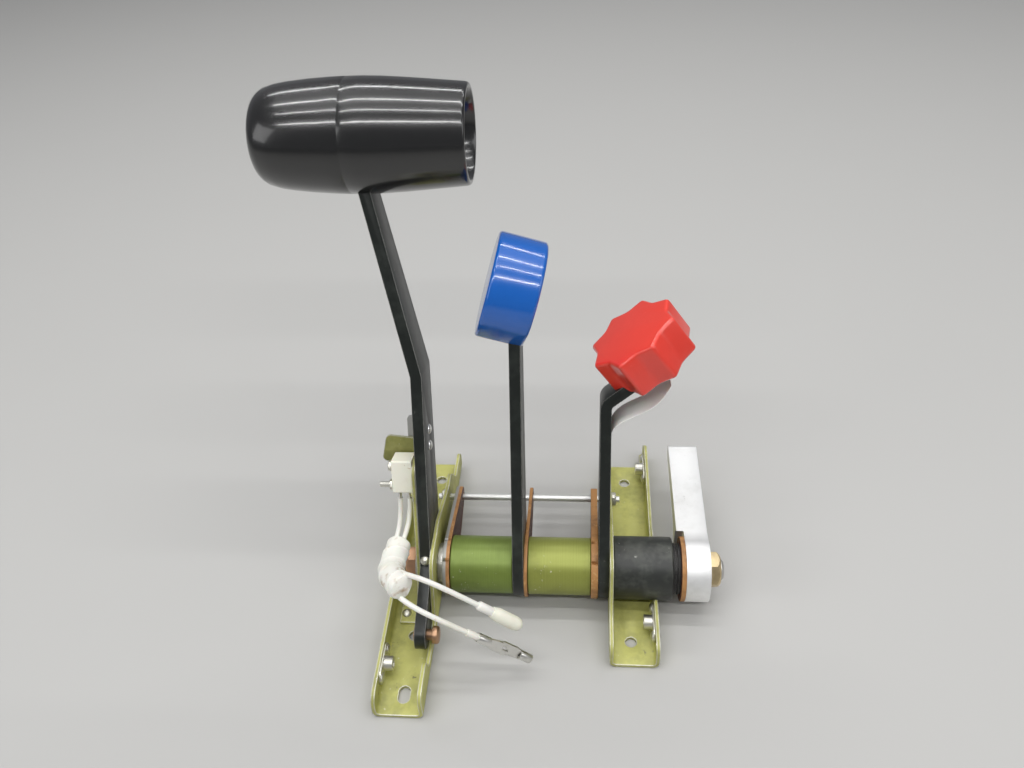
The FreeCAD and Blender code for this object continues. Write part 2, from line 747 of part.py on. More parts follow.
blade_mid = switch_t0 + 4.1
up_y = math.sin(math.radians(lean))
up_z = math.cos(math.radians(lean))
exit_y = shaft_y + (switch_u0 - blade_long) * up_y + blade_mid * up_z
exit_z = shaft_z + (switch_u0 - blade_long) * up_z - blade_mid * up_y
upper_wire = [(x_switch + blade_x[1], exit_y, exit_z),
              (x_switch + blade_x[1], exit_y - 10 * up_y, exit_z - 10 * up_z),
              (-52.6, -26.5, 37.0), (-53.0, -39.5, 42.5), (-48.0, -52.0, 51.5),
              (-36.5, -58.5, 56.0), (-24.5, -60.0, 49.5), (-15.5, -59.5, 41.5)]
lower_wire = [(x_switch + blade_x[0], exit_y, exit_z),
              (x_switch + blade_x[0], exit_y - 10 * up_y, exit_z - 10 * up_z),
              (-56.0, -27.5, 35.5), (-56.5, -41.5, 38.5), (-52.5, -55.0, 45.5),
              (-42.0, -64.0, 46.0), (-30.0, -67.0, 41.0), (-20.0, -66.0, 32.0)]
wrap_path = [(-54.5, -31.0, 37.8), (-54.6, -40.6, 40.8), (-50.4, -53.0, 48.2), (-45.6, -58.2, 50.2)]
wrap_d = 11.5


def heading(points):
    return tuple(b - a for a, b in zip(points[-2], points[-1]))


def upper_end():
    """Heat-shrunk sleeve and fully insulated splice at the end of the upper wire."""
    sleeve = turned([(0, 0), (1.5, 0), (1.9, 0.8), (1.9, 7.0), (0, 7.0)])
    splice = turned([(0, 7.0), (2.2, 7.0), (2.4, 8.0), (2.9, 10.0), (3.0, 19.0), (2.6, 21.0),
                     (1.6, 22.2), (0, 22.4)])
    place = upper_wire[-1], heading(upper_wire)
    return along(sleeve, *place), along(splice, *place)


def knife_blade():
    """One half of a knife disconnect: crimp barrel, flat neck and hooked blade."""
    barrel = Part.makeCylinder(2.0, 6.0).cut(Part.makeCylinder(1.3, 7.0, V(0, 0, 2.0)))
    blade = outline([(-1.9, 5.0, 0), (1.9, 5.0, 0), (2.9, 9.0, 2), (2.9, 17.0, 1.2), (0.6, 17.0, 0.8),
                     (0.6, 13.5, 0.8), (-0.6, 12.0, 0.8), (-2.9, 12.0, 1.2), (-2.9, 9.0, 2)])
    plate = blade.extrude(V(0, 0, 0.8))
    plate.rotate(V(0, 0, 0), V(1, 0, 0), 90)
    plate.translate(V(0, 0.4, 0))
    return barrel.fuse(plate)


def lower_end():
    sleeve = turned([(0, 0), (1.5, 0), (1.5, 5.5), (0, 5.5)])
    half = knife_blade()
    half.translate(V(0, 0, 5.5))
    mate = knife_blade()
    mate.rotate(V(0, 0, 0), V(0, 0, 1), 180)
    mate.rotate(V(0, 0, 0), V(1, 0, 0), 180)
    mate.translate(V(0, 0.9, 5.5 + 28.0))
    place = lower_wire[-1], heading(lower_wire)
    return along(sleeve, *place), along(half, *place), along(mate, *place)


def main():
    os.makedirs("parts", exist_ok=True)
    left, right = bracket(-1), bracket(1)
    save("left_bracket", left)
    save("right_bracket", right)
    plates, plate_rivets = nutplates()
    save("nutplates", plates)
    save("nutplate_rivets", plate_rivets)
    save("pivot_shaft", pivot_shaft())
    save("thrust_washer", at_shaft(ring(x_thrust, thrust_t, 9.0, shaft_r)))
    save("left_plates", Part.makeCompound([friction_plate(x_left_plates + k * plate_t) for k in (0, 1)]))
    save("middle_plate", friction_plate(x_mid_plate))
    save("right_plates", Part.makeCompound([friction_plate(x_right_plates + k * plate_t) for k in (0, 1)]))
    save("left_spacer", spacer(x_left_spacer))
    save("right_spacer", spacer(x_right_spacer))
    save("tie_rod", tie_rod())
    save("tie_nuts", tie_nuts())
    save("collar", collar())
    save("spigot", spigot())
    save("fibre_washer", fibre_washer())
    friction_nut = nut(0, nut_t, nut_flats, shaft_r)
    friction_nut.translate(V(x_nut, 0, 0))
    save("friction_nut", at_shaft(friction_nut))
    save("journal_ring", at_shaft(ring(x_ring, ring_t, 7.5, journal_r)))
    left_washer = ring(x_tower - 1.2, 1.2, 7.9, journal_r)
    save("shaft_washer", at_shaft(left_washer))
    shaft_nut = nut(0, 4.8, 12.7, journal_r).mirror(V(2.4, 0, 0), V(1, 0, 0))
    shaft_nut.translate(V(x_tower - 6.0, 0, 0))
    save("shaft_nut", at_shaft(shaft_nut))
    save("friction_lever", friction_lever())

    save("switch_upright", switch_tower())
    save("upright_rivets", tower_rivets())
    save("switch_case", rest(switch_case()))
    save("switch_plunger", rest(plunger()))
    save("switch_screws", rest(switch_screws()))
    save("switch_blades", rest(terminals()))
    upper, lower = tube(upper_wire, wire_d), tube(lower_wire, wire_d)
    save("upper_wire", upper)
    save("lower_wire", lower)
    save("wire_wrap", tube(wrap_path, wrap_d).cut(upper).cut(lower))
    sleeve_a, splice = upper_end()
    sleeve_b, half, mate = lower_end()
    save("wire_sleeves", Part.makeCompound([sleeve_a, sleeve_b]))
    save("insulated_splice", splice)
    save("knife_terminals", Part.makeCompound([half, mate]))

    lever = throttle_lever()
    shell, core = grip_parts(lever)
    pin = Part.makeCylinder(1.6, 2 * core_r - 1, V(x_in_grip, 0.5 - core_r, grip_u), V(0, 1, 0))
    save("throttle_lever", rest(lever.cut(pin)))
    save("throttle_grip", rest(shell))
    save("grip_core", rest(core.cut(pin)))
    save("grip_pin", rest(pin.copy()))
    save("cable_stud", arm_stud())
    save("hub_screw", rest(set_screw(0)))
    save("striker", rest(striker()))
    save("striker_rivets", rest(striker_rivets()))
    save("striker_strip", rest(striker_pad()))

    lever = prop_lever()
    knob = prop_knob(lever)
    pin = rod(x_prop - 6.0, lever_t + 12.0, 1.6, 0, 118.0)
    save("prop_lever", rest(lever.cut(pin)))
    save("prop_knob", rest(knob.cut(pin)))
    save("prop_pin", rest(pin.copy()))

    lever = mixture_lever()
    knob = mixture_knob(lever)
    pin = rod(-7.0, 14.0, 1.6)
    turn = math.radians(mix_bend)
    pin.rotate(V(0, 0, 0), V(0, 1, 0), mix_bend)
    pin.translate(V(x_mix + lever_t / 2 + mix_knob_out * math.sin(turn), 0,
                    mix_bend_u + mix_knob_out * math.cos(turn)))
    save("mixture_lever", rest(lever.cut(pin)))
    save("mixture_knob", rest(knob.cut(pin)))
    save("mixture_pin", rest(pin.copy()))
    save("lever_tag", rest(lever_tag()))
    print("wire lengths end to end are drawn in full; shaft end at", round(x_nut + nut_t + 1.6, 1))


main()
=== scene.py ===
import json
import math

import bmesh
import bpy
from mathutils import Matrix, Vector

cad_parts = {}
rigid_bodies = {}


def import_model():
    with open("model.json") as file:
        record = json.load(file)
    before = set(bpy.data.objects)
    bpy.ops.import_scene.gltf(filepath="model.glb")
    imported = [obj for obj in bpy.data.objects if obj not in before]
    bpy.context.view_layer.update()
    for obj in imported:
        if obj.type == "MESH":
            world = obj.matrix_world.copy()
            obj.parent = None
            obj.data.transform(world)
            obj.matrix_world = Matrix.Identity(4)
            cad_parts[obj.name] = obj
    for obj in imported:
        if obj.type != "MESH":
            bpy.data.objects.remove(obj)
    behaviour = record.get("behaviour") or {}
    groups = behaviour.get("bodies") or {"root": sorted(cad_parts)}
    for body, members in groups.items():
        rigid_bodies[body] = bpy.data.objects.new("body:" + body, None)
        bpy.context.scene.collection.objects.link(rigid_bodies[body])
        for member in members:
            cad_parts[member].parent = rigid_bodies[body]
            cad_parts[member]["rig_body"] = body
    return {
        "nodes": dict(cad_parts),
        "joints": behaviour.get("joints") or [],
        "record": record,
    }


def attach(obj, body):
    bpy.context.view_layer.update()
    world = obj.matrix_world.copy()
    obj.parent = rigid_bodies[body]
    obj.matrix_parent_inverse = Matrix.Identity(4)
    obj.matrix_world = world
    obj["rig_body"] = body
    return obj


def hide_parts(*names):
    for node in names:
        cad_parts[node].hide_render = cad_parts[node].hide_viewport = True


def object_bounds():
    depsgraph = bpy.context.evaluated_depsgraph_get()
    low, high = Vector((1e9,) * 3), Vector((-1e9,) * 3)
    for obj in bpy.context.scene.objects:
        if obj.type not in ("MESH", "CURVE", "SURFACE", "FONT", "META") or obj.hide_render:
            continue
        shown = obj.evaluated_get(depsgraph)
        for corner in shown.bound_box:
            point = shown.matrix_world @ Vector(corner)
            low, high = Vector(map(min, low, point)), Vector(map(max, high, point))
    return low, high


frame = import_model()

bl_info = {
    "name": "Throttle quadrant",
    "version": (1, 0, 0),
    "blender": (4, 5, 0),
    "location": "3D View > Sidebar > Quadrant",
    "description": "Dresses the packed throttle quadrant with its finished pieces",
    "category": "Object",
}

CAD_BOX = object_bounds()
SCENE = bpy.context.scene
MM = 0.001
SHAFT = Vector(next(j["pos_m"] for j in frame["joints"] if j["name"] == "throttle_swing"))
LEAN = math.radians(20.0)    # of the levers at rest
GRIP_UP = 188.0    # millimetres up the throttle lever


# ---------------- sizes a user may change

def shade(name, description, default):
    """Setting for a linear colour."""
    return bpy.props.FloatVectorProperty(name=name, description=description, default=default,
                                         subtype="COLOR", min=0, max=1)


class QuadrantFinish(bpy.types.PropertyGroup):
    """Colours and edge sizes of the quadrant."""
    bracket_colour: shade("Bracket paint", "Zinc chromate primer on the brackets", (0.50, 0.495, 0.150))
    left_spacer_colour: shade("Left spacer", "Green anodic film on the left spacer",
                              (0.170, 0.232, 0.044))
    right_spacer_colour: shade("Right spacer", "Olive film on the right spacer", (0.275, 0.300, 0.062))
    propeller_colour: shade("Propeller knob", "Moulded blue of the propeller knob",
                            (0.0003, 0.100, 0.440))
    mixture_colour: shade("Mixture knob", "Moulded red of the mixture knob", (0.74, 0.040, 0.022))
    lever_colour: shade("Lever enamel", "Black enamel on the lever bars", (0.006, 0.0085, 0.0065))
    sheet_edge: bpy.props.FloatProperty(
        name="Sheet edge", description="Rounding of folded sheet edges", subtype="DISTANCE",
        default=0.00022, min=0, max=0.001)
    bar_edge: bpy.props.FloatProperty(
        name="Bar edge", description="Rounding of the lever bars' edges", subtype="DISTANCE",
        default=0.0005, min=0, max=0.002)


class QuadrantStage(bpy.types.PropertyGroup):
    """Floor, lights and camera."""
    floor_colour: shade("Floor", "Pale studio floor", (0.47, 0.465, 0.45))
    key_power: bpy.props.FloatProperty(
        name="Key light", description="Power of the overhead strip lights", default=4.2, min=0)
    camera_down: bpy.props.FloatProperty(
        name="Camera pitch", description="How far the camera looks down", subtype="ANGLE",
        default=math.radians(39.7))
    camera_turn: bpy.props.FloatProperty(
        name="Camera heading", description="How far the camera is turned to the left",
        subtype="ANGLE", default=math.radians(5.97))
    camera_roll: bpy.props.FloatProperty(
        name="Camera roll", description="Roll of the camera about its own axis",
        subtype="ANGLE", default=math.radians(3.37))


# ---------------- node helpers

def link(tree, a, a_socket, b, b_socket):
    """Joins a node's output to another's input."""
    tree.links.new(a.outputs[a_socket], b.inputs[b_socket])


def node(tree, kind, **values):
    """Adds a node; settings by attribute name, sockets as in_NAME or in_NUMBER."""
    made = tree.nodes.new(kind)
    for key, value in values.items():
        if key.startswith("in_"):
            socket = key[3:]
            socket = int(socket) if socket.isdigit() else socket.replace("_", " ")
            made.inputs[socket].default_value = value
        else:
            setattr(made, key, value)
    return made


def feed(tree, value, socket):
    """Links an output socket to an input, or sets the input to a plain number or colour."""
    if hasattr(value, "is_output"):
        tree.links.new(value, socket)
    elif isinstance(value, tuple):
        socket.default_value = (*value, 1.0)
    else:
        socket.default_value = value


def math_node(tree, operation, *values):
    """Math node whose inputs are sockets or numbers; gives its output socket."""
    made = node(tree, "ShaderNodeMath", operation=operation)
    for socket, value in zip(made.inputs, values):
        feed(tree, value, socket)
    return made.outputs[0]


def object_place(tree):
    """Object coordinates, which stay with the piece when it moves."""
    return tree.nodes.new("ShaderNodeTexCoord").outputs["Object"]


def ramp(tree, value, low, high, shape="SMOOTHSTEP"):
    """Mask that rises as a value passes between two levels, each a number or a socket."""
    made = node(tree, "ShaderNodeMapRange", interpolation_type=shape)
    for name, item in (("Value", value), ("From Min", low), ("From Max", high)):
        feed(tree, item, made.inputs[name])
    return made.outputs["Result"]


def mix_colour(tree, factor, a, b):
    """Colour between two colours, each a socket or a plain colour."""
    made = node(tree, "ShaderNodeMix", data_type="RGBA")
    for value, index in ((factor, 0), (a, 6), (b, 7)):
        feed(tree, value, made.inputs[index])
    return made.outputs[2]


def new_group(name, inputs, outputs):
    """Shader group with float inputs (name, default) and named float outputs."""
    tree = bpy.data.node_groups.new(name, "ShaderNodeTree")
    for label, default in inputs:
        socket = tree.interface.new_socket(label, in_out="INPUT", socket_type="NodeSocketFloat")
        socket.default_value = default
    for label in outputs:
        tree.interface.new_socket(label, in_out="OUTPUT", socket_type="NodeSocketFloat")
    return tree, tree.nodes.new("NodeGroupInput"), tree.nodes.new("NodeGroupOutput")


def noise(tree, vector, scale, detail=4.0, rough=0.55, scale_socket=None):
    """Noise value at a place; a group passes its own scale by socket."""
    made = node(tree, "ShaderNodeTexNoise", in_Detail=detail, in_Roughness=rough, in_Scale=scale)
    tree.links.new(vector, made.inputs["Vector"])
    if scale_socket:
        tree.links.new(scale_socket, made.inputs["Scale"])
    return made.outputs["Fac"]


def edge_wear_group():
    """Mask of worn outside edges: where the rounded normal leaves the face, broken by noise."""
    tree, inp, out = new_group("edge_wear", (("Radius", 0.0006), ("Amount", 0.5), ("Scale", 300.0)),
                               ("Mask",))
    bevel = node(tree, "ShaderNodeBevel", samples=6)
    link(tree, inp, "Radius", bevel, "Radius")
    geometry = tree.nodes.new("ShaderNodeNewGeometry")
    dot = node(tree, "ShaderNodeVectorMath", operation="DOT_PRODUCT")
    link(tree, bevel, "Normal", dot, 0)
    link(tree, geometry, "Normal", dot, 1)
    turn = math_node(tree, "SUBTRACT", 1.0, dot.outputs["Value"])
    place = object_place(tree)
    grain = noise(tree, place, 300.0, 6.0, 0.7, inp.outputs["Scale"])
    patch = noise(tree, place, 60.0, 2.0)
    spread = math_node(tree, "MULTIPLY", turn, 9.0)
    broken = math_node(tree, "ADD", spread, math_node(tree, "SUBTRACT", grain, 1.0))
    broken = math_node(tree, "ADD", broken, math_node(tree, "MULTIPLY", patch, 0.35))
    level = math_node(tree, "ADD", broken, inp.outputs["Amount"])
    mask = ramp(tree, level, 0.62, 0.78)
    near = ramp(tree, turn, 0.004, 0.02)
    tree.links.new(math_node(tree, "MULTIPLY", mask, near), out.inputs["Mask"])
    return tree


def spots_group():
    """Mask of scattered chips and specks."""
    tree, inp, out = new_group("chips", (("Scale", 200.0), ("Level", 0.7)), ("Mask",))
    place = object_place(tree)
    grain = noise(tree, place, 200.0, 5.0, 0.65, inp.outputs["Scale"])
    cover = noise(tree, place, 45.0, 2.0)
    level = math_node(tree, "ADD", grain, math_node(tree, "MULTIPLY", cover, 0.25))
    high = math_node(tree, "ADD", inp.outputs["Level"], 0.05)
    tree.links.new(ramp(tree, level, inp.outputs["Level"], high, "LINEAR"), out.inputs["Mask"])
    return tree


def tool_lines_group():
    """Fine turning lines round the X axis: height and tone along X."""
    tree, inp, out = new_group("tool_lines", (("Pitch", 0.0004), ("Scale", 900.0)), ("Height", "Tone"))
    place = object_place(tree)
    split = tree.nodes.new("ShaderNodeSeparateXYZ")
    tree.links.new(place, split.inputs[0])
    along = node(tree, "ShaderNodeTexNoise", noise_dimensions="1D", in_Detail=6.0, in_Roughness=0.7)
    link(tree, split, "X", along, "W")
    link(tree, inp, "Scale", along, "Scale")
    phase = math_node(tree, "DIVIDE", split.outputs["X"], inp.outputs["Pitch"])
    wave = math_node(tree, "SINE", math_node(tree, "MULTIPLY", phase, 2 * math.pi))
    height = math_node(tree, "ADD", math_node(tree, "MULTIPLY", wave, 0.25), along.outputs["Fac"])
    tree.links.new(height, out.inputs["Height"])
    link(tree, along, "Fac", out, "Tone")
    return tree


def grime_group():
    """Slow blotches of dirt and handling, with a finer break-up."""
    tree, inp, out = new_group("grime", (("Scale", 30.0), ("Low", 0.45), ("High", 0.7)), ("Mask",))
    place = object_place(tree)
    slow = noise(tree, place, 30.0, 3.0, 0.6, inp.outputs["Scale"])
    fine = noise(tree, place, 420.0, 4.0)
    broken = math_node(tree, "MULTIPLY", math_node(tree, "SUBTRACT", fine, 0.5), 0.3)
    level = math_node(tree, "ADD", slow, broken)
    mask = ramp(tree, level, inp.outputs["Low"], inp.outputs["High"], "LINEAR")
    tree.links.new(mask, out.inputs["Mask"])
    return tree


GROUPS = {}


def group(tree, name, **values):
    """Places one of the shared shader groups, built on first use."""
    builders = {"edge_wear": edge_wear_group, "chips": spots_group,
                "tool_lines": tool_lines_group, "grime": grime_group}
    if name not in GROUPS:
        GROUPS[name] = builders[name]()
    made = tree.nodes.new("ShaderNodeGroup")
    made.node_tree = GROUPS[name]
    for key, value in values.items():
        made.inputs[key].default_value = value
    return made


class Finish:
    """One material under construction: its tree, shader and running colour."""

    def __init__(self, name, colour, rough, metal=0.0, **sockets):
        self.material = bpy.data.materials.new(name)
        self.material.use_nodes = True
        self.tree = self.material.node_tree
        self.shader = self.tree.nodes["Principled BSDF"]
        self.colour = tuple(colour)
        self.rough = rough
        self.metal = metal
        self.heights = []
        for key, value in sockets.items():
            self.shader.inputs[key.replace("_", " ")].default_value = value
        self.place = object_place(self.tree)

    def tint(self, mask, colour, strength=1.0):
        """Mixes a colour in where the mask is high."""
        factor = math_node(self.tree, "MULTIPLY", mask, strength)
        self.colour = mix_colour(self.tree, factor, self.colour, colour)

    def roughen(self, mask, value):
        """Moves the roughness towards a value where the mask is high."""
        made = self.tree.nodes.new("ShaderNodeMix")
        for index, item in ((0, mask), (2, self.rough), (3, value)):
            feed(self.tree, item, made.inputs[index])
        self.rough = made.outputs[0]

    def plate(self, mask, value=1.0):
        """Bare metal where the mask is high."""
        self.metal = math_node(self.tree, "MULTIPLY", mask, value)

    def relief(self, height, distance, strength):
        """Adds one layer of bump."""
        self.heights.append((height, distance, strength))

    def noise(self, scale, detail=4.0, rough=0.55):
        """Noise over the piece."""
        return noise(self.tree, self.place, scale, detail, rough)

    def group(self, name, output="Mask", **values):
        """Output of a shared shader group with this material's values."""
        return group(self.tree, name, **values).outputs[output]

    def chips(self, scale, level, colour, strength):
        """Scatters specks of a colour; the higher the level, the fewer."""
        self.tint(self.group("chips", Scale=scale, Level=level), colour, strength)

    def grime(self, scale, low, high, colour, strength):
        """Lays slow blotches of a colour between two noise levels."""
        self.tint(self.group("grime", Scale=scale, Low=low, High=high), colour, strength)

    def done(self):
        """Joins what was gathered to the shader and gives the material."""
        for value, name in ((self.rough, "Roughness"), (self.metal, "Metallic"),
                            (self.colour, "Base Color")):
            feed(self.tree, value, self.shader.inputs[name])
        normal = None
        for height, distance, strength in self.heights:
            bump = node(self.tree, "ShaderNodeBump", in_Distance=distance, in_Strength=strength)
            self.tree.links.new(height, bump.inputs["Height"])
            if normal:
                self.tree.links.new(normal, bump.inputs["Normal"])
            normal = bump.outputs["Normal"]
        if normal:
            self.tree.links.new(normal, self.shader.inputs["Normal"])
        return self.material


# ---------------- materials

BARE = (0.72, 0.71, 0.68)


def primer(name, colour, wear=0.62):
    """Sprayed zinc chromate over aluminium: dirty, dusted and chipped at the edges."""
    f = Finish(name, colour, 0.42, Specular_IOR_Level=0.45)
    dark = tuple(c * 0.42 for c in colour)
    f.grime(38.0, 0.44, 0.70, dark, 0.75)
    f.grime(110.0, 0.55, 0.8, (0.62, 0.60, 0.25), 0.3)
    f.chips(260.0, 0.79, (0.10, 0.09, 0.05), 0.8)
    f.chips(520.0, 0.80, (0.80, 0.80, 0.66), 0.7)
    worn = f.group("edge_wear", Radius=0.0009, Amount=wear, Scale=520.0)
    f.tint(worn, BARE)
    f.plate(worn, 0.9)
    f.roughen(f.noise(160.0), 0.55)
    f.relief(f.noise(900.0, 3.0), 0.00004, 0.5)
    f.relief(f.noise(90.0, 2.0), 0.0002, 0.3)
    return f.done()


def spacer_film(name, colour):
    """Satin anodic film over turned tube, with fine rings and rubbed ends."""
    f = Finish(name, colour, 0.36, 0.35, Specular_IOR_Level=0.5)
    tone = f.group("tool_lines", "Tone", Pitch=0.0005, Scale=1500.0)
    f.tint(ramp(f.tree, tone, 0.38, 0.68), tuple(min(1, c * 1.4 + 0.02) for c in colour), 0.2)
    f.grime(55.0, 0.5, 0.75, tuple(c * 0.6 for c in colour), 0.45)
    f.chips(420.0, 0.80, (0.75, 0.74, 0.55), 0.8)
    worn = f.group("edge_wear", Radius=0.0005, Amount=0.44, Scale=700.0)
    f.tint(worn, BARE)
    f.roughen(f.noise(220.0), 0.46)
    f.relief(f.group("tool_lines", "Height", Pitch=0.0005, Scale=1500.0), 0.00003, 0.2)
    return f.done()


def enamel(name, colour, rough=0.30, wear=0.3, scuff=0.0):
    """Brushed-on black enamel over steel bar, rubbed grey on its corners."""
    f = Finish(name, colour, rough, Specular_IOR_Level=0.5)
    f.grime(50.0, 0.5, 0.8, (0.05, 0.058, 0.05), 0.5)
    f.chips(330.0, 0.83, (0.22, 0.21, 0.19), 0.7)
    worn = f.group("edge_wear", Radius=0.0006, Amount=wear, Scale=400.0)
    f.tint(worn, (0.30, 0.30, 0.28))
    if scuff:
        f.chips(150.0, 0.775, (0.62, 0.62, 0.55), scuff)
        f.grime(70.0, 0.48, 0.72, (0.16, 0.17, 0.14), 0.5 * scuff)
    f.roughen(f.noise(140.0), rough + 0.16)
    f.relief(f.noise(520.0, 3.0), 0.00004, 0.4)
    return f.done()


def moulded(name, colour, rough, coat=0.35):
    """Moulded plastic with faint flow marks, fine scratches and handling marks."""
    f = Finish(name, colour, rough, Specular_IOR_Level=0.55, Coat_Weight=coat, Coat_Roughness=0.08)
    light = tuple(min(1.0, c * 1.25 + 0.01) for c in colour)
    f.grime(24.0, 0.5, 0.8, light, 0.3)
    f.chips(600.0, 0.84, tuple(min(1, c * 2 + 0.08) for c in colour), 0.4)
    f.roughen(f.noise(120.0, 6.0, 0.7), rough + 0.12)
    f.relief(f.noise(55.0, 2.0), 0.00025, 0.25)
    f.relief(f.noise(1400.0, 2.0), 0.00001, 0.35)
    return f.done()


def metal(name, colour, rough, lines=False, stain=(0.2, 0.17, 0.12), amount=0.35, fleck=0.6):
    """Machined or plated metal with tool lines, tarnish and dulled patches."""
    f = Finish(name, colour, rough, 1.0)
    f.grime(90.0, 0.5, 0.8, stain, amount)
    f.chips(500.0, 0.8, tuple(c * 0.45 for c in colour), fleck)
    f.roughen(f.noise(260.0), min(1.0, rough + 0.18))
    if lines:
        f.relief(f.group("tool_lines", "Height", Pitch=0.0004, Scale=1300.0), 0.00003, 0.5)
    else:
        f.relief(f.noise(800.0, 3.0), 0.00003, 0.4)
    return f.done()


BACKING_RIGHT = -0.0336    # metres; the friction board left of it is a metal backing


def phenolic(name):
    """Fabric-filled friction board: maroon faces, orange-brown raw edges, fine layers."""
    f = Finish(name, (0.105, 0.030, 0.018), 0.55)
    edge = f.group("edge_wear", Radius=0.0011, Amount=0.75, Scale=240.0)
    f.tint(edge, (0.47, 0.235, 0.085))
    geometry = f.tree.nodes.new("ShaderNodeNewGeometry")
    split = f.tree.nodes.new("ShaderNodeSeparateXYZ")
    f.tree.links.new(geometry.outputs["Normal"], split.inputs[0])
    flat = math_node(f.tree, "ABSOLUTE", split.outputs["X"])
    rim = math_node(f.tree, "SUBTRACT", 1.0, ramp(f.tree, flat, 0.35, 0.7))
    f.tint(rim, (0.46, 0.225, 0.075), 0.92)
    f.chips(500.0, 0.72, (0.62, 0.42, 0.20), 0.5)
    f.grime(140.0, 0.5, 0.75, (0.05, 0.02, 0.012), 0.6)
    where = f.tree.nodes.new("ShaderNodeSeparateXYZ")
    f.tree.links.new(f.place, where.inputs[0])
    backing = math_node(f.tree, "LESS_THAN", where.outputs["X"], BACKING_RIGHT)
    f.tint(backing, (0.42, 0.42, 0.40))
    f.plate(backing, 0.8)
    f.relief(f.noise(1100.0, 4.0), 0.00006, 0.6)
    return f.done()


def insulation(name, colour, rough=0.5, stain=(0.42, 0.24, 0.06), soiled=0.0):
    """Aged white insulation: yellowed, greasy in places."""
    f = Finish(name, colour, rough, Subsurface_Weight=0.08, Subsurface_Scale=0.002)
    f.grime(70.0, 0.52, 0.8, (0.66, 0.60, 0.42), 0.5)
    f.chips(260.0, 0.82, stain, 0.6)
    if soiled:
        f.grime(95.0, 0.56, 0.70, (0.33, 0.17, 0.045), soiled)
    f.relief(f.noise(700.0, 3.0), 0.00005, 0.5)
    return f.done()


def build_materials():
    """Every finish by name; a CAD slot takes the finish of its own name."""
    p = SCENE.quadrant_finish
    gold = (0.72, 0.58, 0.34)
    return {
        "zinc_green": primer("zinc_chromate", p.bracket_colour),
        "striker_olive": primer("striker_olive", (0.235, 0.235, 0.066), 0.34),
        "spacer_green": spacer_film("spacer_green", p.left_spacer_colour),
        "spacer_olive": spacer_film("spacer_olive", p.right_spacer_colour),
        "lever_black": enamel("lever_enamel", p.lever_colour),
        "collar_black": enamel("collar_black", (0.022, 0.024, 0.021), 0.36, 0.6, 0.7),
        "spigot_dark": enamel("spigot_dark", (0.014, 0.013, 0.012), 0.5, 0.2),
        "grip_black": moulded("grip_black", (0.0085, 0.0085, 0.0085), 0.17, 0.6),
        "knob_blue": moulded("knob_blue", p.propeller_colour, 0.16, 0.7),
        "knob_red": moulded("knob_red", p.mixture_colour, 0.26, 0.7),
        "bare_aluminium": metal("friction_aluminium", (0.93, 0.93, 0.92), 0.5, False,
                                (0.6, 0.59, 0.55), 0.25, 0.3),
        "core_metal": metal("core_metal", (0.62, 0.61, 0.60), 0.28, True),
        "shaft_steel": metal("shaft_steel", (0.55, 0.54, 0.52), 0.3, True),
        "tie_bright": metal("tie_bright", (0.93, 0.93, 0.90), 0.42, False, (0.6, 0.57, 0.5), 0.2, 0.1),
        "cad_steel": metal("cadmium_steel", (0.66, 0.65, 0.58), 0.32),
        "cad_gold": metal("cadmium_gold", gold, 0.30, False, (0.35, 0.25, 0.12), 0.45),
        "copper_nut": metal("copper_nut", (0.62, 0.36, 0.22), 0.36),
        "stud_bronze": metal("stud_bronze", (0.52, 0.32, 0.20), 0.34),
        "rivet_bright": metal("rivet_bright", (0.9, 0.9, 0.88), 0.25, False, (0.5, 0.5, 0.45), 0.15),
        "terminal_tin": metal("terminal_tin", (0.74, 0.73, 0.69), 0.24, False, (0.3, 0.28, 0.22), 0.5),
        "fibre_brown": phenolic("friction_board"),
        "switch_cream": insulation("switch_cream", (0.86, 0.84, 0.72), 0.4),
        "plunger_dark": moulded("plunger_dark", (0.05, 0.04, 0.03), 0.4, 0.0),
        "wire_white": insulation("wire_white", (0.84, 0.83, 0.77), 0.42),
        "wrap_white": insulation("wrap_tape", (0.86, 0.85, 0.78), 0.7, soiled=0.75),
        "splice_cream": insulation("splice_cream", (0.84, 0.83, 0.70), 0.35),
        "tag_paper": insulation("tag_paper", (0.93, 0.92, 0.88), 0.6),
    }


MATERIALS = {}


def paint(obj, name):
    """Gives an object one finish."""
    obj.data.materials.clear()
    obj.data.materials.append(MATERIALS[name])


# ---------------- piece helpers

def body_of(cad_node):
    """Body that a CAD node rides on."""
    return frame["nodes"][cad_node]["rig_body"]


def slot_of(cad_node):
    """Material slot that the record gives a CAD node."""
    for entry in frame["record"]["subparts"]:
        if entry["node"] == cad_node:
            return entry["material_slot"]
    raise RuntimeError("no slot for " + cad_node)


def adopt(obj, *cad_nodes):
    """Hands a finished piece to the frame in place of its CAD nodes."""
    slot = slot_of(cad_nodes[0])
    paint(obj, slot)
    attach(obj, body_of(cad_nodes[0]))
    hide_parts(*cad_nodes)
    return obj


def new_object(name, data):
    """New object for a mesh, curve, lamp or camera, linked to the scene."""
    obj = bpy.data.objects.new(name, data)
    SCENE.collection.objects.link(obj)
    return obj


def smooth(mesh, degrees=32.0):
    """Smooth faces that meet gently, keep the rest sharp."""
    bm = bmesh.new()
    bm.from_mesh(mesh)
    limit = math.radians(degrees)
    for face in bm.faces:
        face.smooth = True
    for edge in bm.edges:
        edge.smooth = len(edge.link_faces) == 2 and edge.calc_face_angle(0.0) < limit
    bm.to_mesh(mesh)
    bm.free()


def baked(obj):
    """Replaces an object's mesh by its evaluated one and drops the modifiers."""
    graph = bpy.context.evaluated_depsgraph_get()
    mesh = bpy.data.meshes.new_from_object(obj.evaluated_get(graph))
    obj.modifiers.clear()
    old = obj.data
    obj.data = mesh
    bpy.data.meshes.remove(old)
    return obj


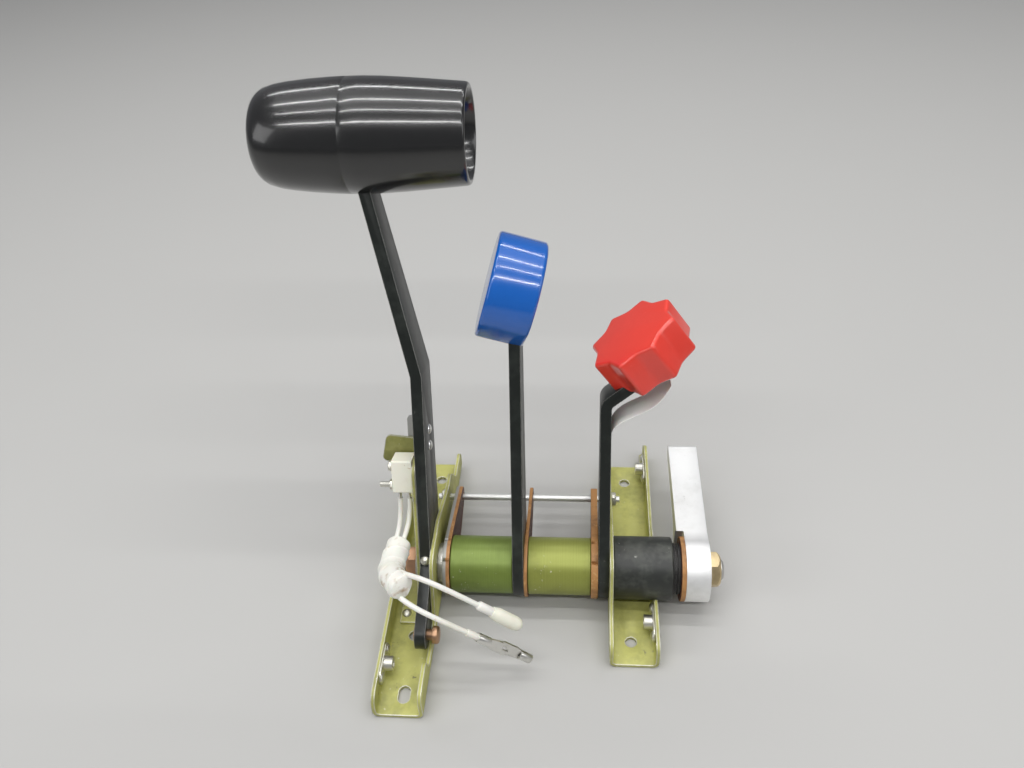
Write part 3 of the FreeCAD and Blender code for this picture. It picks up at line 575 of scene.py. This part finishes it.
def finished(bm, name, degrees=None, outward=True):
    """Object of a bmesh, its faces turned outwards and smoothed below an angle."""
    if outward:
        bmesh.ops.recalc_face_normals(bm, faces=bm.faces)
    mesh = bpy.data.meshes.new(name)
    bm.to_mesh(mesh)
    bm.free()
    if degrees:
        smooth(mesh, degrees)
    return new_object(name, mesh)


def bevelled(obj, width, segments, degrees):
    """Rounds the edges that turn by more than an angle."""
    mod = obj.modifiers.new("edge", "BEVEL")
    mod.width = width
    mod.segments = segments
    mod.limit_method = "ANGLE"
    mod.angle_limit = math.radians(degrees)
    return baked(obj)


def skin(bm, rings):
    """Joins each ring of vertices to the next; a ring of one vertex is a pole."""
    for a, b in zip(rings, rings[1:]):
        count = max(len(a), len(b))
        for k in range(count if count > 1 else 0):
            n = (k + 1) % count
            if len(a) == 1:
                bm.faces.new((a[0], b[k], b[n]))
            elif len(b) == 1:
                bm.faces.new((a[k], b[0], a[n]))
            else:
                bm.faces.new((a[k], b[k], b[n], a[n]))


def revolved(bm, outline, start, along, side, steps):
    """Rings of vertices for (along, radius) points about an axis."""
    other = along.cross(side)
    rings = []
    for distance, radius in outline:
        centre = start + along * distance
        if radius < 1e-6:
            rings.append([bm.verts.new(centre)])
            continue
        turns = [2 * math.pi * k / steps for k in range(steps)]
        rings.append([bm.verts.new(centre + (side * math.cos(a) + other * math.sin(a)) * radius)
                      for a in turns])
    return rings


def merged(cad_node):
    """Copy of a CAD node's mesh with its doubles merged."""
    bm = bmesh.new()
    bm.from_mesh(frame["nodes"][cad_node].data)
    bmesh.ops.remove_doubles(bm, verts=bm.verts, dist=1e-6)
    return bm


def softened(cad_node, edge):
    """Copy of a CAD node with whole faces, rounded edges and smooth curves."""
    bm = merged(cad_node)
    bmesh.ops.dissolve_limit(bm, angle_limit=math.radians(0.6), verts=bm.verts, edges=bm.edges,
                             delimit={"NORMAL"})
    obj = bevelled(finished(bm, cad_node + "_piece", outward=False), edge, 2, 35.0)
    smooth(obj.data, 34.0)
    return obj


def dress(edges):
    """Softens and hands over a table of CAD nodes: name -> edge rounding."""
    for cad_node, edge in edges.items():
        adopt(softened(cad_node, edge), cad_node)


def lathe(name, profile, axis_from, axis_to, steps):
    """Closed revolve of (along, radius) points about the line between two points."""
    start = Vector(axis_from)
    along = (Vector(axis_to) - start).normalized()
    bm = bmesh.new()
    skin(bm, revolved(bm, profile, start, along, along.orthogonal().normalized(), steps))
    return finished(bm, name, 40.0)


def rounded_loop(corners, steps=6):
    """Closed outline in millimetres whose corners (a, b, radius) turn by tangent arcs."""
    loop = []
    count = len(corners)
    for i, (a, b, radius) in enumerate(corners):
        here = Vector((a, b))
        back = (Vector(corners[i - 1][:2]) - here).normalized()
        ahead = (Vector(corners[(i + 1) % count][:2]) - here).normalized()
        half = back.angle(ahead) / 2
        if radius == 0 or half > 1.56:
            loop.append(here)
            continue
        middle = (back + ahead).normalized()
        centre = here + middle * (radius / math.sin(half))
        first = here + back * (radius / math.tan(half)) - centre
        last = here + ahead * (radius / math.tan(half)) - centre
        sweep = first.angle_signed(last)
        for k in range(steps + 1):
            turn = -sweep * k / steps
            loop.append(centre + Vector((first.x * math.cos(turn) - first.y * math.sin(turn),
                                         first.x * math.sin(turn) + first.y * math.cos(turn))))
    return loop


def slab(name, loop, thick, place, edge, degrees):
    """Solid of an outline drawn across its own X axis, with rounded rims, carried by a matrix."""
    bm = bmesh.new()
    half = thick / 2
    rings = [[bm.verts.new(Vector((x, p.x, p.y)) * MM) for p in loop] for x in (-half, half)]
    for ring in rings:
        bm.faces.new(ring)
    for k in range(len(loop)):
        n = (k + 1) % len(loop)
        bm.faces.new((rings[0][k], rings[0][n], rings[1][n], rings[1][k]))
    obj = bevelled(finished(bm, name), edge * MM, 5, degrees)
    obj.data.transform(place)
    smooth(obj.data, 30.0)
    return obj


def lever_frame(x, up, across=0.0):
    """Matrix from leaned-back lever axes to the part's, its origin given in millimetres."""
    lean = Matrix.Translation(SHAFT) @ Matrix.Rotation(-LEAN, 4, "X")
    return lean @ Matrix.Translation(Vector((x, across, up)) * MM)


BEND_REACH = 0.004    # metres each side of a bend, over which its added turn is shared


def rebend(obj, x, up, had, turn, lift=0.0):
    """Adds a turn (degrees) to a lever's bend, and moves the bend up the lever by a lift (mm)."""
    own = lever_frame(x, up)
    back = own.inverted()
    half = math.radians(had / 2)
    for vertex in obj.data.vertices:
        at = back @ vertex.co
        beyond = at.x * math.sin(half) + at.z * math.cos(half)
        if beyond > -BEND_REACH:
            share = min(1.0, (beyond + BEND_REACH) / (2 * BEND_REACH))
            swing = Matrix.Rotation(math.radians(turn * share), 4, "Y")
            vertex.co = own @ (swing @ at + Vector((0, 0, lift * MM)))
    obj.data.update()
    return obj


# ---------------- brackets

RIVET_SHANK = 0.00115    # radius in metres
DOME = 0.6    # a head's height over its radius


def rivet_tree():
    """Whole rivets, a dome at each end of a shank, on points and turned to their facing."""
    tree = bpy.data.node_groups.new("rivet_row", "GeometryNodeTree")
    face = tree.interface
    for label, kind in (("Geometry", "Geometry"), ("Head Radius", "Float"), ("Head Height", "Float"),
                        ("Shank Radius", "Float"), ("Length", "Float"), ("Material", "Material")):
        face.new_socket(label, in_out="INPUT", socket_type="NodeSocket" + kind)
    face.new_socket("Geometry", in_out="OUTPUT", socket_type="NodeSocketGeometry")
    inp = tree.nodes.new("NodeGroupInput")
    out = tree.nodes.new("NodeGroupOutput")
    ball = node(tree, "GeometryNodeMeshUVSphere", in_Segments=28, in_Rings=16)
    link(tree, inp, "Head Radius", ball, "Radius")
    half = math_node(tree, "MULTIPLY", inp.outputs["Length"], 0.5)
    reach = math_node(tree, "SUBTRACT", half, inp.outputs["Head Height"])
    squat = math_node(tree, "DIVIDE", inp.outputs["Head Height"], inp.outputs["Head Radius"])
    whole = tree.nodes.new("GeometryNodeJoinGeometry")
    for sign in (1.0, -1.0):
        dome = tree.nodes.new("GeometryNodeTransform")
        scale = node(tree, "ShaderNodeCombineXYZ", in_X=1.0, in_Y=1.0)
        tree.links.new(squat, scale.inputs["Z"])
        lift = tree.nodes.new("ShaderNodeCombineXYZ")
        tree.links.new(math_node(tree, "MULTIPLY", reach, sign), lift.inputs["Z"])
        link(tree, scale, 0, dome, "Scale")
        link(tree, lift, 0, dome, "Translation")
        link(tree, ball, "Mesh", dome, "Geometry")
        link(tree, dome, "Geometry", whole, "Geometry")
    shank = node(tree, "GeometryNodeMeshCylinder", in_Vertices=28)
    link(tree, inp, "Shank Radius", shank, "Radius")
    tree.links.new(math_node(tree, "MULTIPLY", reach, 2.0), shank.inputs["Depth"])
    link(tree, shank, "Mesh", whole, "Geometry")
    facing = node(tree, "GeometryNodeInputNamedAttribute", data_type="FLOAT_VECTOR", in_Name="facing")
    turn = node(tree, "FunctionNodeAlignRotationToVector", axis="Z")
    link(tree, facing, "Attribute", turn, "Vector")
    put = tree.nodes.new("GeometryNodeInstanceOnPoints")
    link(tree, inp, "Geometry", put, "Points")
    link(tree, whole, "Geometry", put, "Instance")
    link(tree, turn, "Rotation", put, "Rotation")
    real = tree.nodes.new("GeometryNodeRealizeInstances")
    link(tree, put, "Instances", real, "Geometry")
    finish = tree.nodes.new("GeometryNodeSetMaterial")
    link(tree, real, "Geometry", finish, "Geometry")
    link(tree, inp, "Material", finish, "Material")
    link(tree, finish, "Geometry", out, "Geometry")
    return tree


def rivets(cad_node, facing):
    """One baked piece of rivets standing where a CAD node's rivets are."""
    bm = merged(cad_node)
    left = set(bm.verts)
    spots = []
    while left:
        island, edge = set(), [left.pop()]
        while edge:
            vertex = edge.pop()
            island.add(vertex)
            for near in vertex.link_edges:
                other = near.other_vert(vertex)
                if other in left:
                    left.remove(other)
                    edge.append(other)
        low = Vector([min(v.co[i] for v in island) for i in range(3)])
        high = Vector([max(v.co[i] for v in island) for i in range(3)])
        spots.append(((low + high) / 2, high - low))
    bm.free()
    spots.sort(key=lambda spot: tuple(spot[0]))
    along = [abs(c) for c in facing].index(1.0)
    length = max(size[along] for _, size in spots)
    radius = max(size[i] for _, size in spots for i in range(3) if i != along) / 2
    mesh = bpy.data.meshes.new(cad_node + "_row")
    mesh.from_pydata([tuple(spot) for spot, _ in spots], [], [])
    turned = mesh.attributes.new("facing", "FLOAT_VECTOR", "POINT")
    for k in range(len(spots)):
        turned.data[k].vector = facing
    obj = new_object(cad_node + "_row", mesh)
    if "rivet_row" not in GROUPS:
        GROUPS["rivet_row"] = rivet_tree()
    tree = GROUPS["rivet_row"]
    mod = obj.modifiers.new("rivets", "NODES")
    mod.node_group = tree
    sockets = {s.name: s.identifier for s in tree.interface.items_tree if s.in_out == "INPUT"}
    for label, value in (("Head Radius", radius), ("Head Height", DOME * radius),
                         ("Shank Radius", RIVET_SHANK), ("Length", length),
                         ("Material", MATERIALS[slot_of(cad_node)])):
        mod[sockets[label]] = value
    baked(obj)
    smooth(obj.data, 40.0)
    return adopt(obj, cad_node)


class QUADRANT_OT_brackets(bpy.types.Operator):
    """Dress the two folded brackets, their nutplates and the upright's rivets."""
    bl_idname = "quadrant.brackets"
    bl_label = "Brackets"

    def execute(self, context):
        edge = SCENE.quadrant_finish.sheet_edge
        dress({"left_bracket": edge, "right_bracket": edge, "nutplates": 0.00015,
               "tie_rod": 0.00025, "tie_nuts": 0.00025})
        rivets("nutplate_rivets", (1.0, 0.0, 0.0))
        rivets("upright_rivets", (0.0, 0.0, 1.0))
        return {"FINISHED"}


# ---------------- shaft stack

class QUADRANT_OT_stack(bpy.types.Operator):
    """Turned spacers, friction plates, washers, collar and nuts on the pivot shaft."""
    bl_idname = "quadrant.stack"
    bl_label = "Shaft stack"

    def execute(self, context):
        for cad_node in ("left_spacer", "right_spacer", "collar", "spigot", "fibre_washer",
                         "thrust_washer", "journal_ring", "shaft_washer", "pivot_shaft"):
            adopt(turned_copy(cad_node), cad_node)
        dress({"left_plates": 0.00018, "middle_plate": 0.00018, "right_plates": 0.00018,
               "friction_nut": 0.0003, "shaft_nut": 0.0003})
        return {"FINISHED"}


def turned_copy(cad_node):
    """Rebuilds a part turned about the shaft from its CAD outline, with fine facets."""
    bm = merged(cad_node)
    seen = set()
    chain = {}
    for edge in bm.edges:
        a, b = [(round(v.co.x, 6), round(math.hypot(v.co.y - SHAFT.y, v.co.z - SHAFT.z), 5))
                for v in edge.verts]
        if a == b or (min(a, b), max(a, b)) in seen:
            continue
        angle = [math.atan2(v.co.z - SHAFT.z, v.co.y - SHAFT.y) for v in edge.verts]
        if abs(math.remainder(angle[0] - angle[1], 2 * math.pi)) > 1e-3:
            continue
        seen.add((min(a, b), max(a, b)))
        chain.setdefault(a, []).append(b)
        chain.setdefault(b, []).append(a)
    bm.free()
    loop = [min(chain)]
    while True:
        onward = [p for p in chain[loop[-1]] if p not in loop]
        if not onward:
            break
        loop.append(onward[0])
    return ring_from_loop(cad_node + "_turned", loop)


def ring_from_loop(name, loop, steps=112, soft=0.00022):
    """Revolves a closed (x, radius) outline about the shaft axis with rounded corners."""
    rounded = []
    count = len(loop)
    for i, p in enumerate(loop):
        here = Vector(p)
        back = Vector(loop[i - 1]) - here
        ahead = Vector(loop[(i + 1) % count]) - here
        if here.y < 1e-6 or back.length < 1e-6 or ahead.length < 1e-6:
            rounded.append(p)
            continue
        reach = min(soft, 0.4 * back.length, 0.4 * ahead.length)
        a = here + back.normalized() * reach
        b = here + ahead.normalized() * reach
        for s in (0.0, 0.33, 0.67, 1.0):
            q = a * (1 - s) ** 2 + here * 2 * s * (1 - s) + b * s ** 2
            rounded.append((q.x, q.y))
    bm = bmesh.new()
    rings = revolved(bm, rounded, Vector((0, SHAFT.y, SHAFT.z)), Vector((1, 0, 0)),
                     Vector((0, 1, 0)), steps)
    skin(bm, rings + rings[:1])
    return finished(bm, name, 38.0)


# ---------------- throttle

GRIP_LEFT = -0.1005    # metres
GRIP_RIGHT = -0.0175
# a bend's x and height up its lever (mm), the turn it has and the turn added (degrees), a lift (mm)
THROTTLE_BEND = (-42.28, 93.0, -15.0, 2.6)


def grip_shell():
    """Barrel grip: swelling outside, flared open mouth, stepped bore and a mould seam."""
    outside = [(0.0, 12.5), (0.35, 14.2), (1.2, 15.8), (2.6, 17.2), (4.5, 18.4), (9.0, 19.7),
               (14.0, 20.45), (22.0, 21.25), (30.0, 21.75), (36.2, 21.95),
               (36.5, 21.82), (36.7, 21.82), (37.0, 21.96),
               (43.0, 21.98), (50.0, 21.75), (58.0, 21.25), (66.0, 20.6), (73.0, 20.0), (79.0, 19.5),
               (81.6, 19.25), (82.3, 19.05), (82.8, 18.65), (83.0, 18.1)]
    inside = [(82.9, 17.3), (82.3, 16.75), (76.0, 15.4), (61.0, 13.0), (12.0, 13.0), (12.0, 0.0)]
    profile = [(0.0, 0.0)] + outside + inside
    y, z = lever_frame(0.0, GRIP_UP).translation.yz
    return lathe("throttle_grip_shell", [(a * MM, b * MM) for a, b in profile],
                 (GRIP_LEFT, y, z), (GRIP_RIGHT, y, z), 160)


class QUADRANT_OT_throttle(bpy.types.Operator):
    """Throttle lever, barrel grip and core, cable stud, striker and their small parts."""
    bl_idname = "quadrant.throttle"
    bl_label = "Throttle"

    def execute(self, context):
        edge = SCENE.quadrant_finish.bar_edge
        adopt(grip_shell(), "throttle_grip")
        blade = softened("throttle_lever", edge)
        adopt(rebend(blade, *THROTTLE_BEND), "throttle_lever")
        dress({"grip_core": 0.0004, "grip_pin": 0.0002,
               "cable_stud": 0.0003, "hub_screw": 0.00015, "striker": 0.00018,
               "striker_strip": 0.00015})
        rivets("striker_rivets", (1.0, 0.0, 0.0))
        return {"FINISHED"}


# ---------------- propeller and mixture

# millimetres in the levers' own axes; the crease is where the canted flats leave the round, and
# the star's tip and valley are each a reach and its rounding
PROP_X, PROP_UP = -3.3, 127.3
PROP_RADIUS, PROP_FOOT, PROP_WIDE = 21.8, 20.6, 20.2
PROP_CREASE, PROP_TILT, PROP_TURN = (math.radians(a) for a in (34.0, 15.8, 4.8))
STAR_X, STAR_UP = 50.2, 103.3
STAR_TIP, STAR_VALLEY, STAR_THICK = (20.6, 2.0), (16.9, 5.5), 18.2
STAR_BEND, STAR_TIP_BACK, STAR_PHASE = (math.radians(a) for a in (53.35, 13.6, 61.6))
KNOB_RIM = 1.5
MIXTURE_BEND = (35.62, 84.0, 42.0, 11.0, -3.4)
TAG_LINE = [(38.05, 66.5), (38.3, 69.6), (40.4, 72.4), (43.6, 74.6), (47.2, 76.6), (51.0, 78.4),
            (54.6, 80.4), (57.8, 83.2), (60.2, 86.6), (61.9, 90.0)]
TAG_HALF, TAG_THICK = 7.0, 0.3
TAG_CURL, TAG_SLOPE = 0.35, 0.16


def propeller_knob():
    """Thick disc with a flat foot and two canted flats below, set a little askew."""
    foot = math.sqrt(PROP_RADIUS ** 2 - PROP_FOOT ** 2)
    turns = [-PROP_CREASE + (math.pi + 2 * PROP_CREASE) * k / 80 for k in range(81)]
    loop = [Vector((PROP_RADIUS * math.cos(a), PROP_RADIUS * math.sin(a))) for a in turns]
    loop += [Vector((-foot, -PROP_FOOT)), Vector((foot, -PROP_FOOT))]
    askew = Matrix.Rotation(PROP_TILT, 4, "Y") @ Matrix.Rotation(PROP_TURN, 4, "Z")
    place = lever_frame(PROP_X, PROP_UP) @ askew
    return slab("propeller_knob", loop, PROP_WIDE, place, KNOB_RIM, 24.0)


def mixture_knob():
    """Eight-lobed star knob seated on the bent end of its lever."""
    corners = []
    for k in range(16):
        reach, soft = STAR_VALLEY if k % 2 else STAR_TIP
        a = math.pi * k / 8
        corners.append((reach * math.cos(a), reach * math.sin(a), soft))
    up, over = math.sin(STAR_BEND), math.cos(STAR_BEND)
    level = math.cos(STAR_TIP_BACK)
    facing = Vector((-over * level, -math.sin(STAR_TIP_BACK), up * level))
    along = Vector((up, 0, over))
    along = (along - facing * along.dot(facing)).normalized()
    turn = Matrix((facing, along, facing.cross(along))).transposed().to_4x4()
    place = lever_frame(STAR_X, STAR_UP) @ turn @ Matrix.Rotation(STAR_PHASE, 4, "X")
    return slab("mixture_knob_star", rounded_loop(corners), STAR_THICK, place, KNOB_RIM, 50.0)


def blank_tag():
    """Thin unprinted paper tag curling out from under the mixture knob."""
    bm = bmesh.new()
    rows = []
    for k in range(10):
        across = -TAG_HALF + 2 * TAG_HALF * k / 9
        row = []
        for i, (x, up) in enumerate(TAG_LINE):
            curl = TAG_CURL * math.sin(0.9 * i + 0.7) * (across / 6.0) ** 2 * (i / len(TAG_LINE))
            slope = TAG_SLOPE * across * min(1.0, i / 3)
            row.append(bm.verts.new(lever_frame(x, up + curl + slope, across) @ Vector()))
        rows.append(row)
    for a, b in zip(rows, rows[1:]):
        for i in range(len(a) - 1):
            bm.faces.new((a[i], a[i + 1], b[i + 1], b[i]))
    obj = finished(bm, "blank_tag", outward=False)
    thick = obj.modifiers.new("paper", "SOLIDIFY")
    thick.thickness = TAG_THICK * MM
    thick.offset = 1.0
    soft = obj.modifiers.new("curl", "SUBSURF")
    soft.levels = soft.render_levels = 2
    baked(obj)
    smooth(obj.data, 50.0)
    return obj


class QUADRANT_OT_propeller(bpy.types.Operator):
    """Propeller lever and its thick round knob."""
    bl_idname = "quadrant.propeller"
    bl_label = "Propeller control"

    def execute(self, context):
        adopt(propeller_knob(), "prop_knob", "prop_pin")
        dress({"prop_lever": SCENE.quadrant_finish.bar_edge})
        return {"FINISHED"}


class QUADRANT_OT_mixture(bpy.types.Operator):
    """Mixture lever, its star knob and the blank tag on the lever."""
    bl_idname = "quadrant.mixture"
    bl_label = "Mixture control"

    def execute(self, context):
        adopt(mixture_knob(), "mixture_knob", "mixture_pin")
        adopt(blank_tag(), "lever_tag")
        blade = softened("mixture_lever", SCENE.quadrant_finish.bar_edge)
        adopt(rebend(blade, *MIXTURE_BEND), "mixture_lever")
        return {"FINISHED"}


class QUADRANT_OT_friction(bpy.types.Operator):
    """Bare aluminium friction lever."""
    bl_idname = "quadrant.friction"
    bl_label = "Friction lever"

    def execute(self, context):
        dress({"friction_lever": 0.0007})
        return {"FINISHED"}


# ---------------- switch

class QUADRANT_OT_switch(bpy.types.Operator):
    """Warning switch, its upright, plunger, screws and terminal blades."""
    bl_idname = "quadrant.switch"
    bl_label = "Switch"

    def execute(self, context):
        dress({"switch_upright": SCENE.quadrant_finish.sheet_edge, "switch_case": 0.0002,
               "switch_plunger": 0.0001, "switch_screws": 0.0002, "switch_blades": 0.0001})
        return {"FINISHED"}


# ---------------- wires

# control points in millimetres
UPPER_WIRE = [(-49.36, -11.69, 52.22), (-49.36, -15.11, 42.83), (-52.6, -26.5, 37.0),
              (-53.0, -39.5, 42.5), (-48.0, -52.0, 51.5), (-36.5, -58.5, 56.0),
              (-24.5, -60.0, 49.5), (-15.5, -59.5, 41.5)]
LOWER_WIRE = [(-53.56, -11.69, 52.22), (-53.56, -15.11, 42.83), (-56.0, -27.5, 35.5),
              (-56.5, -41.5, 38.5), (-52.5, -55.0, 45.5), (-42.0, -64.0, 46.0),
              (-30.0, -67.0, 41.0), (-20.0, -66.0, 32.0)]
WRAP_LINE = [(-53.4, -25.6, 37.6), (-54.9, -38.6, 38.6), (-51.0, -52.6, 48.2), (-45.4, -58.6, 50.4)]
WIRE_D = 2.2 * MM
WRAP_D = 11.5 * MM
WRAP_TURNS = 4.3


def route(name, points, diameter=0.0):
    """NURBS curve through control points in millimetres."""
    curve = bpy.data.curves.new(name, "CURVE")
    curve.dimensions = "3D"
    spline = curve.splines.new("NURBS")
    spline.points.add(len(points) - 1)
    for point, co in zip(spline.points, points):
        point.co = (*[c * MM for c in co], 1.0)
    spline.order_u = 3
    spline.use_endpoint_u = True
    spline.resolution_u = 24
    curve.bevel_depth = diameter / 2
    curve.bevel_resolution = 6
    curve.use_fill_caps = diameter > 0
    return new_object(name, curve)


def line_of(points):
    """Points along the evaluated spline, without bevel."""
    obj = route("guide", points)
    graph = bpy.context.evaluated_depsgraph_get()
    mesh = bpy.data.meshes.new_from_object(obj.evaluated_get(graph))
    found = [v.co.copy() for v in mesh.vertices]
    bpy.data.objects.remove(obj)
    bpy.data.meshes.remove(mesh)
    return found


def spaced(line, steps):
    """Points and directions at equal steps along a line."""
    total = sum((b - a).length for a, b in zip(line, line[1:]))
    spots = []
    passed = 0.0
    i = 0
    for k in range(steps + 1):
        reach = total * k / steps
        while i < len(line) - 2 and passed + (line[i + 1] - line[i]).length < reach - 1e-9:
            passed += (line[i + 1] - line[i]).length
            i += 1
        part = line[i + 1] - line[i]
        spots.append((line[i] + part * min(1.0, (reach - passed) / part.length), part.normalized()))
    return spots


def wrap_mesh():
    """Fibre tape wound round both wires: overlapping turns and a lumpy bundle."""
    steps, around = 240, 64
    spots = spaced(line_of(WRAP_LINE), steps)
    bm = bmesh.new()
    rings = []
    for k, (centre, ahead) in enumerate(spots):
        s = k / steps
        side = ahead.cross(Vector((0, 0, 1))).normalized()
        over = side.cross(ahead)
        end = 0.93 + 0.07 * math.sqrt(min(1.0, min(s, 1 - s) / 0.02))
        ring = []
        for j in range(around):
            a = 2 * math.pi * j / around
            phase = (s * WRAP_TURNS + a / (2 * math.pi)) % 1.0
            step = 0.055 * (1 - phase) + 0.05 * math.exp(-(min(phase, 1 - phase) / 0.06) ** 2)
            lumpy = 0.035 * math.sin(2 * a + 3.1 * s) + 0.02 * math.sin(5 * a + 17 * s)
            r = WRAP_D / 2 * (0.86 + step + lumpy * 0.8) * end
            offset = side * (math.cos(a) * r) + over * (math.sin(a) * r * 0.94)
            ring.append(bm.verts.new(centre + offset))
        rings.append(ring)
    skin(bm, [[bm.verts.new(spots[0][0])], *rings, [bm.verts.new(spots[-1][0])]])
    return finished(bm, "wrap_tape", 50.0)


class QUADRANT_OT_wires(bpy.types.Operator):
    """The two switch wires, their wrap, sleeves, splice and knife terminals."""
    bl_idname = "quadrant.wires"
    bl_label = "Wires"

    def execute(self, context):
        wrap = adopt(wrap_mesh(), "wire_wrap")
        dress({"insulated_splice": 0.0002, "knife_terminals": 0.00012})
        splice = bpy.data.objects["insulated_splice_piece"]
        terminals = bpy.data.objects["knife_terminals_piece"]
        sleeves = adopt(softened("wire_sleeves", 0.00015), "wire_sleeves")
        for name, points, length, ends in (
                ("upper_wire", UPPER_WIRE, 0.0904, [wrap, sleeves, splice]),
                ("lower_wire", LOWER_WIRE, 0.0931, [terminals])):
            wire = adopt(route(name + "_cord", points, WIRE_D), name)
        return {"FINISHED"}


# ---------------- stage

AIM = (0.0, 0.02, 0.10)
STRIP_AWAY, STRIP_LONG = 1.15, 1.5
# name, degrees above the horizon, width (metres), share of the key light
STRIPS = (("strip_front", 54.0, 0.034, 1.3), ("strip_upper", 76.0, 0.024, 0.9),
          ("strip_over", 97.0, 0.03, 1.1), ("strip_rear", 128.0, 0.03, 0.9))
# name, place and size (metres), share of the key light
FILLS = (("side_fill", (-0.9, -0.5, 0.55), (0.5, 0.5), 0.35),
         ("ceiling", (0.0, 0.25, 1.5), (1.8, 1.1), 0.9),
         ("right_fill", (0.9, -0.3, 0.6), (0.5, 0.5), 0.35))
SKY, SKY_STRENGTH = (0.93, 0.95, 1.0, 1), 0.22
CAMERA_PLACE = (0.02600, -0.27386, 0.33628)
CAMERA_LENS, CAMERA_SENSOR = 31.11, 36.0


def area_light(name, place, size, power):
    """Rectangular lamp turned to the middle of the quadrant."""
    lamp = bpy.data.lights.new(name, "AREA")
    lamp.shape = "RECTANGLE"
    lamp.size, lamp.size_y = size
    lamp.energy = power
    obj = new_object(name, lamp)
    obj.location = place
    obj.rotation_euler = (Vector(AIM) - Vector(place)).to_track_quat("-Z", "Y").to_euler()


def pale_floor(colour):
    """Paper floor just under the quadrant."""
    mesh = bpy.data.meshes.new("floor")
    low = CAD_BOX[0][2] - 0.0002
    mesh.from_pydata([(-3, -3, low), (3, -3, low), (3, 3, low), (-3, 3, low)], [], [(0, 1, 2, 3)])
    floor = new_object("floor", mesh)
    f = Finish("floor_paper", colour, 0.75)
    f.tint(f.noise(14.0, 3.0), tuple(c * 0.97 for c in colour), 0.5)
    floor.data.materials.append(f.done())


def studio_lights(power):
    """Dim sky, strip lights in an arc over the quadrant, and weak fills."""
    world = bpy.data.worlds.new("studio")
    world.use_nodes = True
    sky = world.node_tree.nodes["Background"].inputs
    sky["Color"].default_value = SKY
    sky["Strength"].default_value = SKY_STRENGTH
    SCENE.world = world
    for name, rise, width, share in STRIPS:
        a = math.radians(rise)
        place = (0.0, AIM[1] - STRIP_AWAY * math.cos(a), AIM[2] + STRIP_AWAY * math.sin(a))
        area_light(name, place, (STRIP_LONG, width), power * share)
    for name, place, size, share in FILLS:
        area_light(name, place, size, power * share)


def studio_camera(pitch, heading, roll):
    """Camera that looks down by a pitch, turned left by a heading, then rolled."""
    lens = bpy.data.cameras.new("camera")
    lens.lens = CAMERA_LENS
    lens.sensor_width = CAMERA_SENSOR
    lens.clip_start = 0.01
    camera = new_object("camera", lens)
    level = Vector((-math.sin(heading), math.cos(heading), 0))
    across = Vector((math.cos(heading), math.sin(heading), 0))
    ahead = level * math.cos(pitch) - Vector((0, 0, math.sin(pitch)))
    down = -(level * math.sin(pitch) + Vector((0, 0, math.cos(pitch))))
    right = across * math.cos(roll) + down * math.sin(roll)
    up = -(down * math.cos(roll) - across * math.sin(roll))
    turn = Matrix((right, up, -ahead)).transposed().to_4x4()
    camera.matrix_world = Matrix.Translation(CAMERA_PLACE) @ turn
    SCENE.camera = camera


class QUADRANT_OT_stage(bpy.types.Operator):
    """Pale floor, strip lights and the camera."""
    bl_idname = "quadrant.stage"
    bl_label = "Stage"

    def execute(self, context):
        p = SCENE.quadrant_stage
        pale_floor(p.floor_colour)
        studio_lights(p.key_power)
        studio_camera(p.camera_down, p.camera_turn, p.camera_roll)
        SCENE.view_settings.view_transform = "Standard"
        return {"FINISHED"}


# ---------------- panel and running order

OPERATORS = (QUADRANT_OT_brackets, QUADRANT_OT_stack, QUADRANT_OT_throttle, QUADRANT_OT_propeller,
             QUADRANT_OT_mixture, QUADRANT_OT_friction, QUADRANT_OT_switch, QUADRANT_OT_wires,
             QUADRANT_OT_stage)


class QUADRANT_PT_panel(bpy.types.Panel):
    """Lists the quadrant's settings and pieces."""
    bl_label = "Throttle quadrant"
    bl_idname = "QUADRANT_PT_panel"
    bl_space_type = "VIEW_3D"
    bl_region_type = "UI"
    bl_category = "Quadrant"

    def draw(self, context):
        for settings in (context.scene.quadrant_finish, context.scene.quadrant_stage):
            for key in settings.__annotations__:
                self.layout.prop(settings, key)
        for operator in OPERATORS:
            self.layout.operator(operator.bl_idname)


CLASSES = (QuadrantFinish, QuadrantStage, *OPERATORS, QUADRANT_PT_panel)


def register():
    """Registers the classes and hangs the settings on the scene."""
    for cls in CLASSES:
        bpy.utils.register_class(cls)
    bpy.types.Scene.quadrant_finish = bpy.props.PointerProperty(type=QuadrantFinish)
    bpy.types.Scene.quadrant_stage = bpy.props.PointerProperty(type=QuadrantStage)


def unregister():
    """Takes the settings and classes away again."""
    del bpy.types.Scene.quadrant_stage
    del bpy.types.Scene.quadrant_finish
    for cls in reversed(CLASSES):
        bpy.utils.unregister_class(cls)


def main():
    register()
    MATERIALS.update(build_materials())
    for operator in OPERATORS:
        group_name, call = operator.bl_idname.split(".")
        getattr(getattr(bpy.ops, group_name), call)()


if __name__ == "__main__":
    main()
